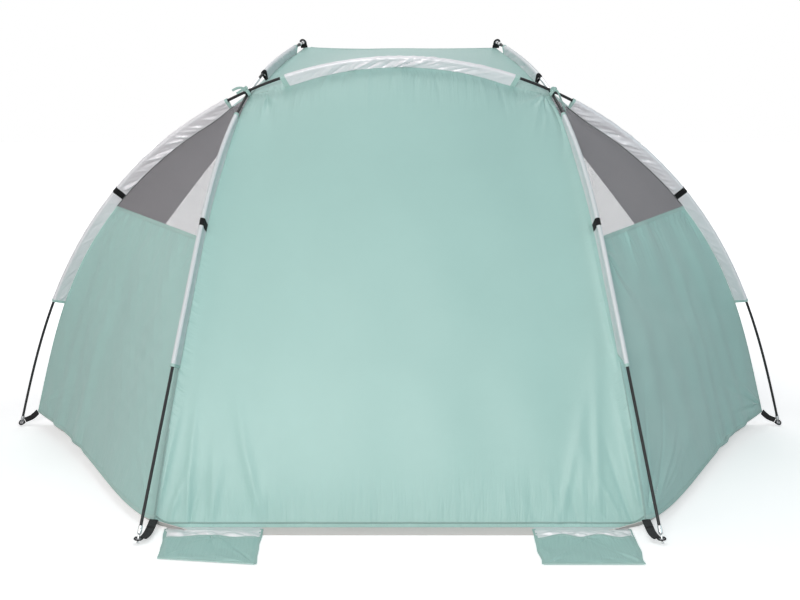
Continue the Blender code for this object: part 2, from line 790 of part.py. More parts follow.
def rear_hem():
    shares = shares_of(WALL_TOP)
    line = straight(REAR_CORNER, mirrored(REAR_CORNER), shares)
    lift = corner_lift(shares, abs(REAR_CORNER[0]), GROUND_LIFT_WIDTH_REAR)
    line[:, 2] = HEM_REST + (REAR_CORNER[2] - HEM_REST) * lift
    return line


REAR_HEM = rear_hem()
SIDE_HEM = straight(REAR_CORNER, FRONT_CORNER, between(0.0, 1.0, SIDE_STEPS))
hem_swing = np.sin(2 * math.pi * between(0.0, 1.0, SIDE_STEPS))
SIDE_HEM[:, 0] -= SIDE_HEM_SWING_REAR * np.maximum(hem_swing, 0.0)
SIDE_HEM[:, 0] -= SIDE_HEM_SWING_FRONT * np.minimum(hem_swing, 0.0)
WINDOW_SEAM = straight(STRUT_SEAM[LOWER_STEPS], HOOP_SEAM[LOWER_STEPS],
                       between(0.0, 1.0, SIDE_STEPS))


def rear_wall():
    """The back wall, taut above and puckered a little along its hem."""
    left = STRUT_SEAM[: CROSS + 1]
    grid = coons(REAR_HEM, WALL_TOP, left, mirrored(left))
    upward = shares_of(left)[:, None]
    across = shares_of(REAR_HEM)[None, :]
    rise = upward / WALL_FOLD_HEIGHT_SHARE
    ripple = rise * np.exp(1.0 - rise) * np.sin(math.pi * across)
    ripple = ripple * np.cos(2 * math.pi * WALL_FOLDS * across)
    outward = np.array([0.0, -math.cos(HOOP_LEAN), math.sin(HOOP_LEAN)])
    grid = grid + WALL_FOLD_DEPTH * ripple[:, :, None] * outward
    sheet("rear_wall", drawn_in(grid), MINT)


def side_walls():
    left = STRUT_SEAM[: LOWER_STEPS + 1]
    right = HOOP_SEAM[: LOWER_STEPS + 1]
    both_sides("side_wall", drawn_in(coons(SIDE_HEM, WINDOW_SEAM, left, right)), MINT)


def cut_short(run, share):
    """A run of points whose last step is shortened to a share of itself."""
    run = run.copy()
    run[-1] = run[-2] + share * (run[-1] - run[-2])
    return run


def side_windows():
    left = cut_short(STRUT_SEAM[LOWER_STEPS: CROSS + 1], APEX_SHARE)
    right = cut_short(HOOP_SEAM[LOWER_STEPS: CROSS + 1], APEX_SHARE)
    top = straight(left[-1], right[-1], between(0.0, 1.0, SIDE_STEPS))
    both_sides("side_window", drawn_in(coons(WINDOW_SEAM, top, left, right)), NETTING)


def free_edge():
    """The open front edge of a wing, cut in a shallow bow towards the hoop."""
    shares = shares_of(HOOP_SEAM[: CROSS + 1])
    line = straight(FRONT_CORNER, AWNING_CORNER, shares)
    middle = HOOP_SEAM[CROSS // 2]
    chord = unit(AWNING_CORNER - FRONT_CORNER)
    towards = middle - FRONT_CORNER
    towards = unit(towards - np.dot(towards, chord) * chord)
    return line + FREE_EDGE_BOW * np.outer(np.sin(math.pi * shares), towards)


def wings():
    """The front panels that run from the hoop to the free edge under the awning's corner."""
    hoop_side = HOOP_SEAM[: CROSS + 1].copy()
    open_side = free_edge()
    hoop_side[0] += WING_FOOT_SHARE * (hoop_side[1] - hoop_side[0])
    open_side[0] += WING_FOOT_SHARE * (open_side[1] - open_side[0])
    foot = straight(hoop_side[0], open_side[0], between(0.0, 1.0, AWNING_STEPS))
    top = STRUT_SEAM[CROSS:]
    both_sides("wing", drawn_in(coons(foot, top, hoop_side, open_side)), MINT)


def awning():
    side = STRUT_SEAM[CROSS:]
    shares = shares_of(CROWN_SEAM)
    front = straight(side[-1], mirrored(side[-1]), shares)
    front[:, 2] -= AWNING_SAG * np.sin(math.pi * shares)
    sheet("awning", drawn_in(coons(CROWN_SEAM, front, side, mirrored(side))), MINT)


def groundsheet():
    """The floor: flat on the ground, raised to the hem along both sides."""
    edge = SIDE_HEM.copy()
    margin = edge[0] - np.array([0.0, GROUND_MARGIN, edge[0][2] - HEM_REST])
    edge = np.concatenate([[margin], edge])
    rows = []
    shares = np.array([*GROUND_EDGE_SHARES, *between(*GROUND_INNER_SHARES, AWNING_STEPS)])
    shares = np.concatenate([shares, 1.0 - np.array(GROUND_EDGE_SHARES[::-1])])
    lift_widths = between(GROUND_LIFT_WIDTH_REAR, GROUND_LIFT_WIDTH_FRONT, SIDE_STEPS + 1)
    for point, lift_width in zip(edge, lift_widths):
        row = straight(point, mirrored(point), shares)
        lift = corner_lift(shares, abs(point[0]), lift_width)
        row[:, 2] = CLOTH / 2 + (point[2] - HEM_REST) * lift
        rows.append(row)
    sheet("groundsheet", np.array(rows), GROUND_CLOTH)


def sand_pocket(name, centre):
    """A flat bag sewn to the rear hem, open towards the wall so that sand can be shovelled in.
    Its lower cloth runs on to the hem past the mouth of its upper cloth."""
    root = REAR_CORNER[1] - SEAM_GAP - CLOTH
    floor = HEM_REST
    mouth = root - POCKET_MOUTH_SETBACK
    end = root - POCKET_LENGTH
    across = between(-1.0, 1.0, POCKET_STEPS)
    bag_rows = between(mouth, end, POCKET_STEPS)
    mesh = bpy.data.meshes.new(name)
    work = bmesh.new()

    def row(back, height_at):
        spots = []
        for share in across:
            spots.append(work.verts.new((share * POCKET_WIDTH / 2, back - root, height_at(share))))
        return spots

    def skin(rows):
        for lower, upper in zip(rows[:-1], rows[1:]):
            for index in range(len(lower) - 1):
                work.faces.new([lower[index], lower[index + 1], upper[index + 1], upper[index]])

    def crown(back):
        along = (mouth - back) / (mouth - end)
        rise = (POCKET_CROWN_HEIGHT - POCKET_EDGE_HEIGHT) * math.cos(math.pi / 2 * along)
        return lambda share: POCKET_EDGE_HEIGHT + rise * (1.0 - share * share)

    below = [row(root, lambda share: 0.0)]
    below += [row(back, lambda share: 0.0) for back in bag_rows]
    above = [row(back, crown(back)) for back in bag_rows]
    skin(below)
    skin([*above[::-1]])
    skin([above[-1], below[-1]])
    for side in (0, -1):
        for index in range(len(bag_rows) - 1):
            work.faces.new([
                below[index + 1][side], below[index + 2][side],
                above[index + 1][side], above[index][side],
            ])
    bmesh.ops.recalc_face_normals(work, faces=work.faces)
    work.to_mesh(mesh)
    work.free()
    item = add_object(name, mesh, MINT)
    item.location = (centre, root, floor)
    thicken(item, CLOTH, -1.0)
    if mesh.polygons[0].normal.z > 0:
        mesh.flip_normals()


# Poles
hoop_step = HOOP_RAIL.length / HOOP_SECTIONS
pole("hoop", HOOP_RAIL, [hoop_step * number for number in range(1, HOOP_SECTIONS)])
strut_step = STRUT_SECTION_SHARE * LEFT_STRUT_RAIL.length
strut_joins = [strut_step, 2 * strut_step]
pole("left_strut", LEFT_STRUT_RAIL, strut_joins)
pole("right_strut", RIGHT_STRUT_RAIL, strut_joins)

# Tips and the straps that hold them to the fabric's corners
BESIDE_CORNER = STRAP_THICKNESS / 2 + GAP
OVER_GROUNDSHEET = 2 * STRAP_THICKNESS + GAP
ABOVE_CLOTH = CLOTH / 2 + 2 * GAP
ENDS = [
    ("left_front", HOOP_RAIL, True, FRONT_CORNER, BESIDE_CORNER),
    ("right_front", HOOP_RAIL, False, mirrored(FRONT_CORNER), BESIDE_CORNER),
    ("left_rear", LEFT_STRUT_RAIL, True, REAR_CORNER, OVER_GROUNDSHEET),
    ("right_rear", RIGHT_STRUT_RAIL, True, mirrored(REAR_CORNER), OVER_GROUNDSHEET),
    ("left_awning", LEFT_STRUT_RAIL, False, AWNING_CORNER, ABOVE_CLOTH),
    ("right_awning", RIGHT_STRUT_RAIL, False, mirrored(AWNING_CORNER), ABOVE_CLOTH),
]
for label, rail, at_start, corner, stand_off in ENDS:
    tip_end, tip_axis = pole_tip(label + "_pole_tip", rail, at_start)
    strap(label + "_strap", tip_end, tip_axis, corner, stand_off)

# Sleeves and ties. The right half of the hoop is measured back from its other end
tie_half = TIE_WIDTH / 2 + GAP
lower_hoop = (HOOP_SLEEVE_START, HOOP_TIE_PLACE - tie_half)
upper_hoop = (HOOP_TIE_PLACE + tie_half, HOOP_CROSS_PLACE - HOOP_SLEEVE_STOP_BELOW_CROSSING)
crown_start = HOOP_CROSS_PLACE + CROWN_SLEEVE_START_PAST_CROSSING
sleeve("crown_sleeve", HOOP_RAIL, crown_start, HOOP_RAIL.length - crown_start)
for part_name, (start, stop) in (("lower", lower_hoop), ("upper", upper_hoop)):
    sleeve(f"left_{part_name}_hoop_sleeve", HOOP_RAIL, start, stop)
    end = HOOP_RAIL.length
    sleeve(f"right_{part_name}_hoop_sleeve", HOOP_RAIL, end - stop, end - start)
tie("left_hoop_tie", HOOP_RAIL, HOOP_TIE_PLACE, 1.0)
tie("right_hoop_tie", HOOP_RAIL, HOOP_RAIL.length - HOOP_TIE_PLACE, 1.0)

lower_strut = (STRUT_SLEEVE_START, STRUT_TIE_PLACE - tie_half)
upper_strut = (STRUT_TIE_PLACE + tie_half, STRUT_CROSS_PLACE - STRUT_SLEEVE_STOP_BELOW_CROSSING)
awning_run = (STRUT_CROSS_PLACE + AWNING_SLEEVE_START_PAST_CROSSING,
              LEFT_STRUT_RAIL.length - AWNING_SLEEVE_STOP_BEFORE_TIP)
for label, rail in (("left", LEFT_STRUT_RAIL), ("right", RIGHT_STRUT_RAIL)):
    sleeve(label + "_lower_strut_sleeve", rail, *lower_strut)
    sleeve(label + "_upper_strut_sleeve", rail, *upper_strut)
    sleeve(label + "_awning_sleeve", rail, *awning_run)
tie("left_strut_tie", LEFT_STRUT_RAIL, STRUT_TIE_PLACE, 1.0)
tie("right_strut_tie", RIGHT_STRUT_RAIL, STRUT_TIE_PLACE, -1.0)
crossing_tie("left_crossing_tie", False)
crossing_tie("right_crossing_tie", True)

# Fabric
rear_wall()
side_walls()
side_windows()
wings()
awning()
groundsheet()
sand_pocket("left_sand_pocket", -POCKET_CENTRE)
sand_pocket("right_sand_pocket", POCKET_CENTRE)
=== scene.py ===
"""The looks of a pitched beach tent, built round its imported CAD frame.

Metres, +Z up. The closed back wall faces -Y, towards the camera, and the open front faces +Y.
"""
import math

import bmesh
import bpy
import numpy as np
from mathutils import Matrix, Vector


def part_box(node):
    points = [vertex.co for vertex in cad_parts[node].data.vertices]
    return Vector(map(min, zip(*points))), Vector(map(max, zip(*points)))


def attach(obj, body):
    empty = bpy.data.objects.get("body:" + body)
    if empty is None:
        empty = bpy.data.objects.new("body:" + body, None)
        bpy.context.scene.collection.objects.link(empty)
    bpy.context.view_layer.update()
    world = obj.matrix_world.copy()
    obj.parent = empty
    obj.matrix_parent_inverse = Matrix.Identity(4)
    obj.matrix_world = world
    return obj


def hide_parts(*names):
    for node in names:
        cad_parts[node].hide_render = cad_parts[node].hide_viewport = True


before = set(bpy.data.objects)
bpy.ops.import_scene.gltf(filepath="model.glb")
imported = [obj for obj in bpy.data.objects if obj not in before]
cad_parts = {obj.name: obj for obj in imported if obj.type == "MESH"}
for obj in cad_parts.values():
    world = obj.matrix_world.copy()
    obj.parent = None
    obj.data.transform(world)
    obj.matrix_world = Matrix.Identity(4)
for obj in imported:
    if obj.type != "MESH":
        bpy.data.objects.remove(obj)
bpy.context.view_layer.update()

# Poles: a long hoop and two shorter struts, lengths of dark pultruded fibreglass rod that plug
# into bright metal ferrules. They are slid into the sleeves and sprung until their tips reach
# the corner straps, so each is one smooth bend, and an elastic cord runs through each of them.
tent_width, tent_depth, rear_width = 2.500, 1.206, 1.270
hoop_height, hoop_lean, hoop_foot_lean = 1.176, math.radians(27), math.radians(16)
hoop_cross_share, strut_cross_share = 0.774, 0.74
strut_bend, strut_bend_start, strut_bend_end = math.radians(47.5), 0.40, 0.97
foot_rise, rod_radius, rod_bore, rod_gap = 0.0028, 0.0040, 0.0022, 0.0003
ferrule_radius, ferrule_length, cord_radius = 0.0051, 0.070, 0.0012
tip_reach, hoop_lengths, strut_length_share = 0.0273, 6, 0.384
rod_step, cuff_step, cord_step = 0.012, 0.010, 0.015
rod_sides, cuff_sides, cord_sides = 20, 24, 10
fine_steps, hoop_steps, strut_steps, look_ahead = 400, 261, 281, 0.010
UP = np.array([0.0, 0.0, 1.0])


def unit(vectors):
    return vectors / np.linalg.norm(vectors, axis=-1, keepdims=True)


def mirrored(points):
    return points * np.array([-1.0, 1.0, 1.0])


def clamped(values):
    return np.clip(values, 0, 1)


def eased(values):
    """Values held between 0 and 1, and made to start and end gently."""
    share = clamped(values)
    return share * share * (3.0 - 2.0 * share)


def shares_of(count):
    return np.linspace(0.0, 1.0, count)


def lengths_along(points):
    steps = np.linalg.norm(np.diff(points, axis=0), axis=1)
    return np.concatenate([[0.0], np.cumsum(steps)])


def placed(points, places):
    """The points at the given distances along a run."""
    along = lengths_along(points)
    return np.stack([np.interp(places, along, points[:, axis]) for axis in range(3)], axis=1)


def evenly(points, count):
    return placed(points, np.linspace(0.0, lengths_along(points)[-1], count))


def way_at(line, place):
    """The direction of a run at a distance along it."""
    before, after = placed(line, [place - look_ahead, place + look_ahead])
    return unit(after - before)


def hoop_half():
    """Half of the sprung hoop, from its left foot to its crown: it bends least at its foot."""
    turn = shares_of(fine_steps)
    lean = hoop_foot_lean + (math.pi / 2 - hoop_foot_lean) * turn ** 2
    inward = np.concatenate([[0.0], np.cumsum(np.sin(lean[:-1]))])
    upward = np.concatenate([[0.0], np.cumsum(np.cos(lean[:-1]))])
    slant = (hoop_height - foot_rise) / math.cos(hoop_lean) * upward / upward[-1]
    across = -tent_width / 2 * (1.0 - inward / inward[-1])
    back = tent_depth / 2 - slant * math.sin(hoop_lean)
    return np.stack([across, back, foot_rise + slant * math.cos(hoop_lean)], axis=1)


hoop_left = evenly(hoop_half(), hoop_steps)
hoop_line = np.concatenate([hoop_left, mirrored(hoop_left)[-2::-1]])
half_hoop = lengths_along(hoop_left)[-1]
hoop_cross = hoop_cross_share * half_hoop
crossing = placed(hoop_left, [hoop_cross])[0]
hoop_way = way_at(hoop_left, hoop_cross)
hoop_normal = np.array([0.0, math.cos(hoop_lean), math.sin(hoop_lean)])
hoop_inward = np.cross(hoop_normal, hoop_way)
hoop_inward = hoop_inward * -np.sign(hoop_inward[2])
rear_foot = np.array([-rear_width / 2, -tent_depth / 2, foot_rise])


def strut_run():
    """The left strut, upright in the plane through its foot and the crossing, and passing just
    under the hoop there."""
    run = shares_of(fine_steps)
    turn = eased((run - strut_bend_start) / (strut_bend_end - strut_bend_start))
    angle = strut_bend * (1.0 - turn)
    forward = np.concatenate([[0.0], np.cumsum(np.cos(angle[:-1]))])
    upward = np.concatenate([[0.0], np.cumsum(np.sin(angle[:-1]))])
    under = crossing + (2 * rod_radius + rod_gap) * hoop_inward - rear_foot
    ground_way = unit(under * np.array([1.0, 1.0, 0.0]))
    reach = np.array([under @ ground_way, under[2]])
    cross = int(round(strut_cross_share * (fine_steps - 1)))
    drawn = np.array([forward[cross], upward[cross]])
    scale = np.linalg.norm(reach) / np.linalg.norm(drawn)
    tilt = math.atan2(reach[1], reach[0]) - math.atan2(drawn[1], drawn[0])
    ahead = scale * (forward * math.cos(tilt) - upward * math.sin(tilt))
    above = scale * (forward * math.sin(tilt) + upward * math.cos(tilt))
    line = rear_foot + np.outer(ahead, ground_way) + np.outer(above, UP)
    return line, lengths_along(line)[cross]


strut_line, strut_cross = strut_run()
strut_line = evenly(strut_line, strut_steps)
strut_reach = lengths_along(strut_line)[-1]


def wire(tree, kind, sockets=None, **settings):
    """Add a node, set or link its inputs, and hand it back."""
    made = tree.nodes.new(kind)
    for name, value in settings.items():
        setattr(made, name, value)
    for name, value in (sockets or {}).items():
        if isinstance(value, bpy.types.NodeSocket):
            tree.links.new(value, made.inputs[name])
        else:
            made.inputs[name].default_value = value
    return made


def finish(name, **sockets):
    """A material whose Principled shader has the given plain values."""
    material = bpy.data.materials.new(name)
    material.use_nodes = True
    shader = material.node_tree.nodes["Principled BSDF"]
    for socket, value in sockets.items():
        shader.inputs[socket.replace("_", " ")].default_value = value
    return material, material.node_tree, shader


def worked_out(tree, operation, *values):
    """The result of a Math node on one or two numbers or sockets."""
    return wire(tree, "ShaderNodeMath", dict(enumerate(values)), operation=operation).outputs[0]


def noise(tree, place, **settings):
    """The grey value of a noise texture at a place."""
    made = wire(tree, "ShaderNodeTexNoise", {"Vector": place, **settings})
    return made.outputs["Fac"]


def object_place(tree):
    return wire(tree, "ShaderNodeTexCoord").outputs["Object"]


def two_tones(tree, shader, factor, dark, light):
    """Colour a shader between two tones, by a value that changes over the surface."""
    tone = wire(tree, "ShaderNodeValToRGB", {"Fac": factor})
    for element, colour in zip(tone.color_ramp.elements, (dark, light)):
        element.color = (*colour, 1.0)
    tree.links.new(tone.outputs[0], shader.inputs["Base Color"])


def bumped(tree, shader, height, strength, distance):
    bump = wire(tree, "ShaderNodeBump", {"Height": height, "Strength": strength,
                                         "Distance": distance})
    tree.links.new(bump.outputs[0], shader.inputs["Normal"])


def named_sockets(tree, inputs, outputs):
    """Give a tree its named inputs and outputs, and hand back the nodes that hold them."""
    for sockets, in_out in ((inputs, "INPUT"), (outputs, "OUTPUT")):
        for name, kind in sockets.items():
            tree.interface.new_socket(name, in_out=in_out, socket_type="NodeSocket" + kind)
    return tree.nodes.new("NodeGroupInput"), tree.nodes.new("NodeGroupOutput")


def put(name, data):
    """A new object of a mesh, a lamp or a camera, in the scene."""
    item = bpy.data.objects.new(name, data)
    bpy.context.scene.collection.objects.link(item)
    return item


def rod_tree():
    """Node tree: a round rod along a line of points, with the way along it kept as lengthwise."""
    tree = bpy.data.node_groups.new("rod", "GeometryNodeTree")
    start, stop = named_sockets(tree, {"Geometry": "Geometry", "radius": "Float", "sides": "Int",
                                       "caps": "Bool", "material": "Material"},
                                {"Geometry": "Geometry"})
    line = wire(tree, "GeometryNodeMeshToCurve", {"Mesh": start.outputs["Geometry"]})
    spot = tree.nodes.new("GeometryNodeSplineParameter")
    kept = wire(tree, "GeometryNodeStoreNamedAttribute", {
        "Geometry": line.outputs[0], "Name": "lengthwise", "Value": spot.outputs["Length"]})
    ring = wire(tree, "GeometryNodeCurvePrimitiveCircle", {
        "Resolution": start.outputs["sides"], "Radius": start.outputs["radius"]})
    rod = wire(tree, "GeometryNodeCurveToMesh", {
        "Curve": kept.outputs[0], "Profile Curve": ring.outputs[0],
        "Fill Caps": start.outputs["caps"]})
    round_off = wire(tree, "GeometryNodeSetShadeSmooth", {"Geometry": rod.outputs[0]})
    real = wire(tree, "GeometryNodeRealizeInstances", {"Geometry": round_off.outputs[0]})
    dressed = wire(tree, "GeometryNodeSetMaterial", {
        "Geometry": real.outputs[0], "Material": start.outputs["material"]})
    tree.links.new(dressed.outputs[0], stop.inputs[0])
    return tree


ROD = rod_tree()


def line_mesh(name, runs):
    """Bare edges through one or more runs of points."""
    mesh = bpy.data.meshes.new(name)
    points, edges = [], []
    for run in runs:
        edges += [(len(points) + i, len(points) + i + 1) for i in range(len(run) - 1)]
        points += [tuple(p) for p in run]
    mesh.from_pydata(points, edges, [])
    return mesh


def grown(name, mesh, tree, wall=0.0, **values):
    """Run a node tree on a mesh and keep the plain result, with a wall where one is asked."""
    item = put(name, mesh)
    growth = item.modifiers.new("growth", "NODES")
    growth.node_group = tree
    for socket in tree.interface.items_tree:
        if socket.in_out == "INPUT" and socket.name in values:
            growth[socket.identifier] = values[socket.name]
    if wall:
        shell = item.modifiers.new("wall", "SOLIDIFY")
        shell.thickness, shell.offset = wall, -1.0
    bpy.context.view_layer.update()
    made = bpy.data.meshes.new_from_object(
        item.evaluated_get(bpy.context.evaluated_depsgraph_get()))
    item.modifiers.clear()
    item.data = made
    made.set_sharp_from_angle(angle=math.radians(50))
    return item


def fibre_finish():
    """Dark fibreglass: fine streaks that run along the rod, and a dull resin gloss."""
    material, tree, shader = finish("dark_fibreglass", Roughness=0.30, Specular_IOR_Level=0.25)
    way = wire(tree, "ShaderNodeAttribute", attribute_name="lengthwise")
    stretch = wire(tree, "ShaderNodeVectorMath", {0: object_place(tree),
                                                 1: (420.0, 420.0, 60.0)}, operation="MULTIPLY")
    along = worked_out(tree, "MULTIPLY", way.outputs["Fac"], 9.0)
    seat = wire(tree, "ShaderNodeCombineXYZ", {"Z": along})
    spot = wire(tree, "ShaderNodeVectorMath", {0: stretch.outputs[0], 1: seat.outputs[0]},
                operation="ADD")
    streak = noise(tree, spot.outputs[0], Scale=1.0, Detail=3.0)
    two_tones(tree, shader, streak, (0.012, 0.012, 0.013), (0.036, 0.037, 0.038))
    bumped(tree, shader, streak, 0.25, 0.0003)
    return material


def brushed_group():
    """Shared effect: fine scratches on bright metal, as a roughness and a height."""
    group = bpy.data.node_groups.new("brushed", "ShaderNodeTree")
    start, stop = named_sockets(group, {"Roughness": "Float"},
                                {"Roughness": "Float", "Height": "Float"})
    scratch = noise(group, object_place(group), Scale=900.0, Detail=4.0)
    spread = wire(group, "ShaderNodeMapRange", {"Value": scratch, "To Min": -0.10,
                                                "To Max": 0.14})
    total = worked_out(group, "ADD", start.outputs[0], spread.outputs[0])
    group.links.new(total, stop.inputs["Roughness"])
    group.links.new(scratch, stop.inputs["Height"])
    return group


BRUSHED = brushed_group()


def metal_finish(name, colour, roughness):
    material, tree, shader = finish(name, Base_Color=(*colour, 1.0), Metallic=1.0)
    scratched = wire(tree, "ShaderNodeGroup", node_tree=BRUSHED)
    scratched.inputs["Roughness"].default_value = roughness
    tree.links.new(scratched.outputs["Roughness"], shader.inputs["Roughness"])
    bumped(tree, shader, scratched.outputs["Height"], 0.2, 0.0002)
    return material


def twisted_finish(name, dark, light, scale, distortion=0.0, **sockets):
    """Braided or twisted yarn: fine diagonal turns in its colour."""
    material, tree, shader = finish(name, **sockets)
    turns = wire(tree, "ShaderNodeTexWave", {"Vector": object_place(tree), "Scale": scale,
                                             "Distortion": distortion},
                 bands_direction="DIAGONAL")
    two_tones(tree, shader, turns.outputs["Fac"], dark, light)
    return material


FIBRE = fibre_finish()
FERRULE_METAL = metal_finish("bright_ferrule", (0.66, 0.67, 0.69), 0.30)
CORD_BRAID = twisted_finish("braided_elastic", (0.42, 0.42, 0.41), (0.74, 0.74, 0.72), 500.0, 1.0,
                            Roughness=0.85)


def dress(item, body, replaced=()):
    """Ride a finished piece on its body, and say which CAD nodes it stands for."""
    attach(item, body)
    if replaced:
        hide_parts(*replaced)
    return item


def between(start, stop, step):
    return np.linspace(start, stop, max(2, int(round((stop - start) / step)) + 1))


def assemble_pole(name, line, joins):
    """The lengths of one pole, the ferrules at its joins and the cord inside it."""
    reach = lengths_along(line)[-1]
    ends = [tip_reach, *joins, reach - tip_reach]
    for number, (start, stop) in enumerate(zip(ends[:-1], ends[1:]), start=1):
        first = start + rod_gap if number > 1 else start
        run = placed(line, between(first, stop, rod_step))
        node = f"{name}_section_{number}"
        item = grown(node + "_rod", line_mesh(node, [run]), ROD, wall=rod_radius - rod_bore,
                     radius=rod_radius, sides=rod_sides, caps=False, material=FIBRE)
        dress(item, "tent", [node])
        if number < len(ends) - 1:
            half = ferrule_length / 2
            cuff = placed(line, between(stop - half, stop + half, cuff_step))
            item = grown(node + "_ferrule", line_mesh(node, [cuff]), ROD,
                         wall=ferrule_radius - rod_radius - rod_gap / 3, radius=ferrule_radius,
                         sides=cuff_sides, caps=False, material=FERRULE_METAL)
            dress(item, "tent")
    inner = placed(line, between(ends[0], ends[-1], cord_step))
    item = grown(name + "_elastic", line_mesh(name, [inner]), ROD, radius=cord_radius,
                 sides=cord_sides, caps=True, material=CORD_BRAID)
    dress(item, "tent", [name + "_shock_cord"])


hoop_full = lengths_along(hoop_line)[-1]
assemble_pole("hoop", hoop_line, [hoop_full * k / hoop_lengths for k in range(1, hoop_lengths)])
strut_joins = [strut_length_share * strut_reach, 2 * strut_length_share * strut_reach]
assemble_pole("left_strut", strut_line, strut_joins)
assemble_pole("right_strut", mirrored(strut_line), strut_joins)

# Pole tips: turned steel, zinc plated. Each is a cup glued over the end of its pole, then a thin
# neck that the strap's eyelet turns on, and a blunt knob that keeps the eyelet from coming off.
knob_radius, knob_length, neck_radius, neck_length = 0.0028, 0.005, 0.0020, 0.016
cup_radius, cup_length, cup_depth, cup_bore = 0.0054, 0.022, 0.016, 0.00448
groove_low, groove_high, groove_depth = 0.0140, 0.0165, 0.0005
tip_steps, tip_aim = 28, 0.040


def revolved(name, profile, end, axis, steps, material):
    """Turn an outline of (radius, distance along the axis) round an axis."""
    side = unit(np.cross(axis, UP))
    other = np.cross(axis, side)
    work = bmesh.new()
    rings = []
    for radius, along in profile:
        centre = end + along * axis
        if radius == 0.0:
            rings.append([work.verts.new(centre)])
            continue
        turns = np.linspace(0.0, 2 * math.pi, steps, endpoint=False)
        rings.append([work.verts.new(centre + radius * (math.cos(t) * side + math.sin(t) * other))
                      for t in turns])
    for one, two in zip(rings[:-1], rings[1:]):
        for i in range(steps):
            j = (i + 1) % steps
            if len(one) == 1:
                work.faces.new([one[0], two[i], two[j]])
            elif len(two) == 1:
                work.faces.new([one[i], two[0], one[j]])
            else:
                work.faces.new([one[i], two[i], two[j], one[j]])
    bmesh.ops.recalc_face_normals(work, faces=work.faces)
    mesh = bpy.data.meshes.new(name)
    work.to_mesh(mesh)
    work.free()
    mesh.materials.append(material)
    mesh.shade_smooth()
    mesh.set_sharp_from_angle(angle=math.radians(35))
    return put(name, mesh)


TIP_METAL = metal_finish("zinc_plated_tip", (0.62, 0.63, 0.64), 0.27)
neck_top = knob_length + neck_length
tip_outline = [
    (0.0, neck_top + cup_length - cup_depth), (cup_bore, neck_top + cup_length - cup_depth),
    (cup_bore, neck_top + cup_length), (cup_radius - 0.0003, neck_top + cup_length),
    (cup_radius, neck_top + cup_length - 0.0004), (cup_radius, neck_top + groove_high),
    (cup_radius - groove_depth, neck_top + groove_high - groove_depth),
    (cup_radius - groove_depth, neck_top + groove_low + groove_depth),
    (cup_radius, neck_top + groove_low), (cup_radius, neck_top + 0.0045),
    (cup_radius - 0.0008, neck_top + 0.0025), (neck_radius + 0.0006, neck_top + 0.0006),
    (neck_radius, neck_top - 0.0010), (neck_radius, knob_length + 0.0004),
    (knob_radius - 0.0004, knob_length - 0.0006), (knob_radius, knob_length / 2),
    (knob_radius - 0.0004, 0.0009), (neck_radius * 0.7, 0.0), (0.0, 0.0),
]
tip_places = {}
for label, line, at_start in (
    ("left_front", hoop_line, True), ("right_front", hoop_line, False),
    ("left_rear", strut_line, True), ("right_rear", mirrored(strut_line), True),
    ("left_awning", strut_line, False), ("right_awning", mirrored(strut_line), False),
):
    run = line if at_start else line[::-1]
    axis = unit(placed(run, [tip_aim])[0] - run[0])
    tip_places[label] = (run[0], axis)
    item = revolved(label + "_tip", tip_outline, run[0], axis, tip_steps, TIP_METAL)
    dress(item, "tent", [label + "_pole_tip"])

# Groundsheet: grey tarpaulin, woven from flat tapes and laminated. It lies on the ground, turns
# up along both sides to meet the side hems, and runs a hand's width out behind the back wall.
cloth_rest, ground_thickness, ground_margin, margin_inset = 0.0013, 0.0009, 0.062, 0.20
ground_size, ground_area, ground_gap, ground_ease = (2.39, 1.15), 2.08, 0.00005, 0.08
ground_cut, ground_waves = (2.0, 1.2), ((5, 0.22, 0.0010), (6, 0.07, 0.0003))
ground_rows, ground_columns, ground_edge = 150, 150, (0.045, 0.0028)
lift_rear, lift_front, lift_power = 0.040, 0.110, 2.0
swing_rear, swing_front, hem_wander = 0.026, 0.012, 0.0038
INSIDE_TENT, BELOW_GROUND = (0.0, 0.0, 0.4), (0.0, 0.0, -5.0)
front_foot = hoop_left[0]
rear_corner = rear_foot + np.array([0.018, 0.130, 0.018])
front_corner = front_foot + np.array([0.055, 0.010, 0.042])


def arch(shares):
    """0 at both ends and 1 in the middle."""
    return np.sin(math.pi * shares)


def straight(start, stop, shares):
    return start + np.outer(shares, stop - start)


def side_hem_line(shares):
    """The lower edge of a side wall, which swings out at the back and in at the front."""
    line = straight(rear_corner, front_corner, shares)
    rear = arch(np.sqrt(clamped(2.0 * shares)))
    front = arch(clamped(2.0 * shares - 1.0))
    wander = np.sin(39.0 * shares + 0.8) + 0.6 * np.sin(67.0 * shares + 2.0)
    line[:, 0] -= swing_rear * rear - swing_front * front + hem_wander * front * wander
    return line


def corner_lift(shares, half_width, lift_width):
    inset = np.minimum(shares, 1.0 - shares) * 2 * half_width
    return clamped(1.0 - inset / lift_width) ** lift_power


def crowded(count, near, step):
    """Shares from 0 to 1 with extra ones near both ends, for a tight bend there."""
    close = np.arange(0.0, near, step)
    return np.concatenate([close, np.linspace(near, 1.0 - near, count), 1.0 - close[::-1]])


def normals_of(grid):
    across = np.gradient(grid, axis=1)
    upward = np.gradient(grid, axis=0)
    return unit(np.cross(across, upward))


def facing(grid, normals, away_from):
    """The normals turned so that they look away from a point."""
    outward = np.sum(normals * (grid - np.array(away_from)), axis=2).mean()
    return normals if outward > 0 else -normals


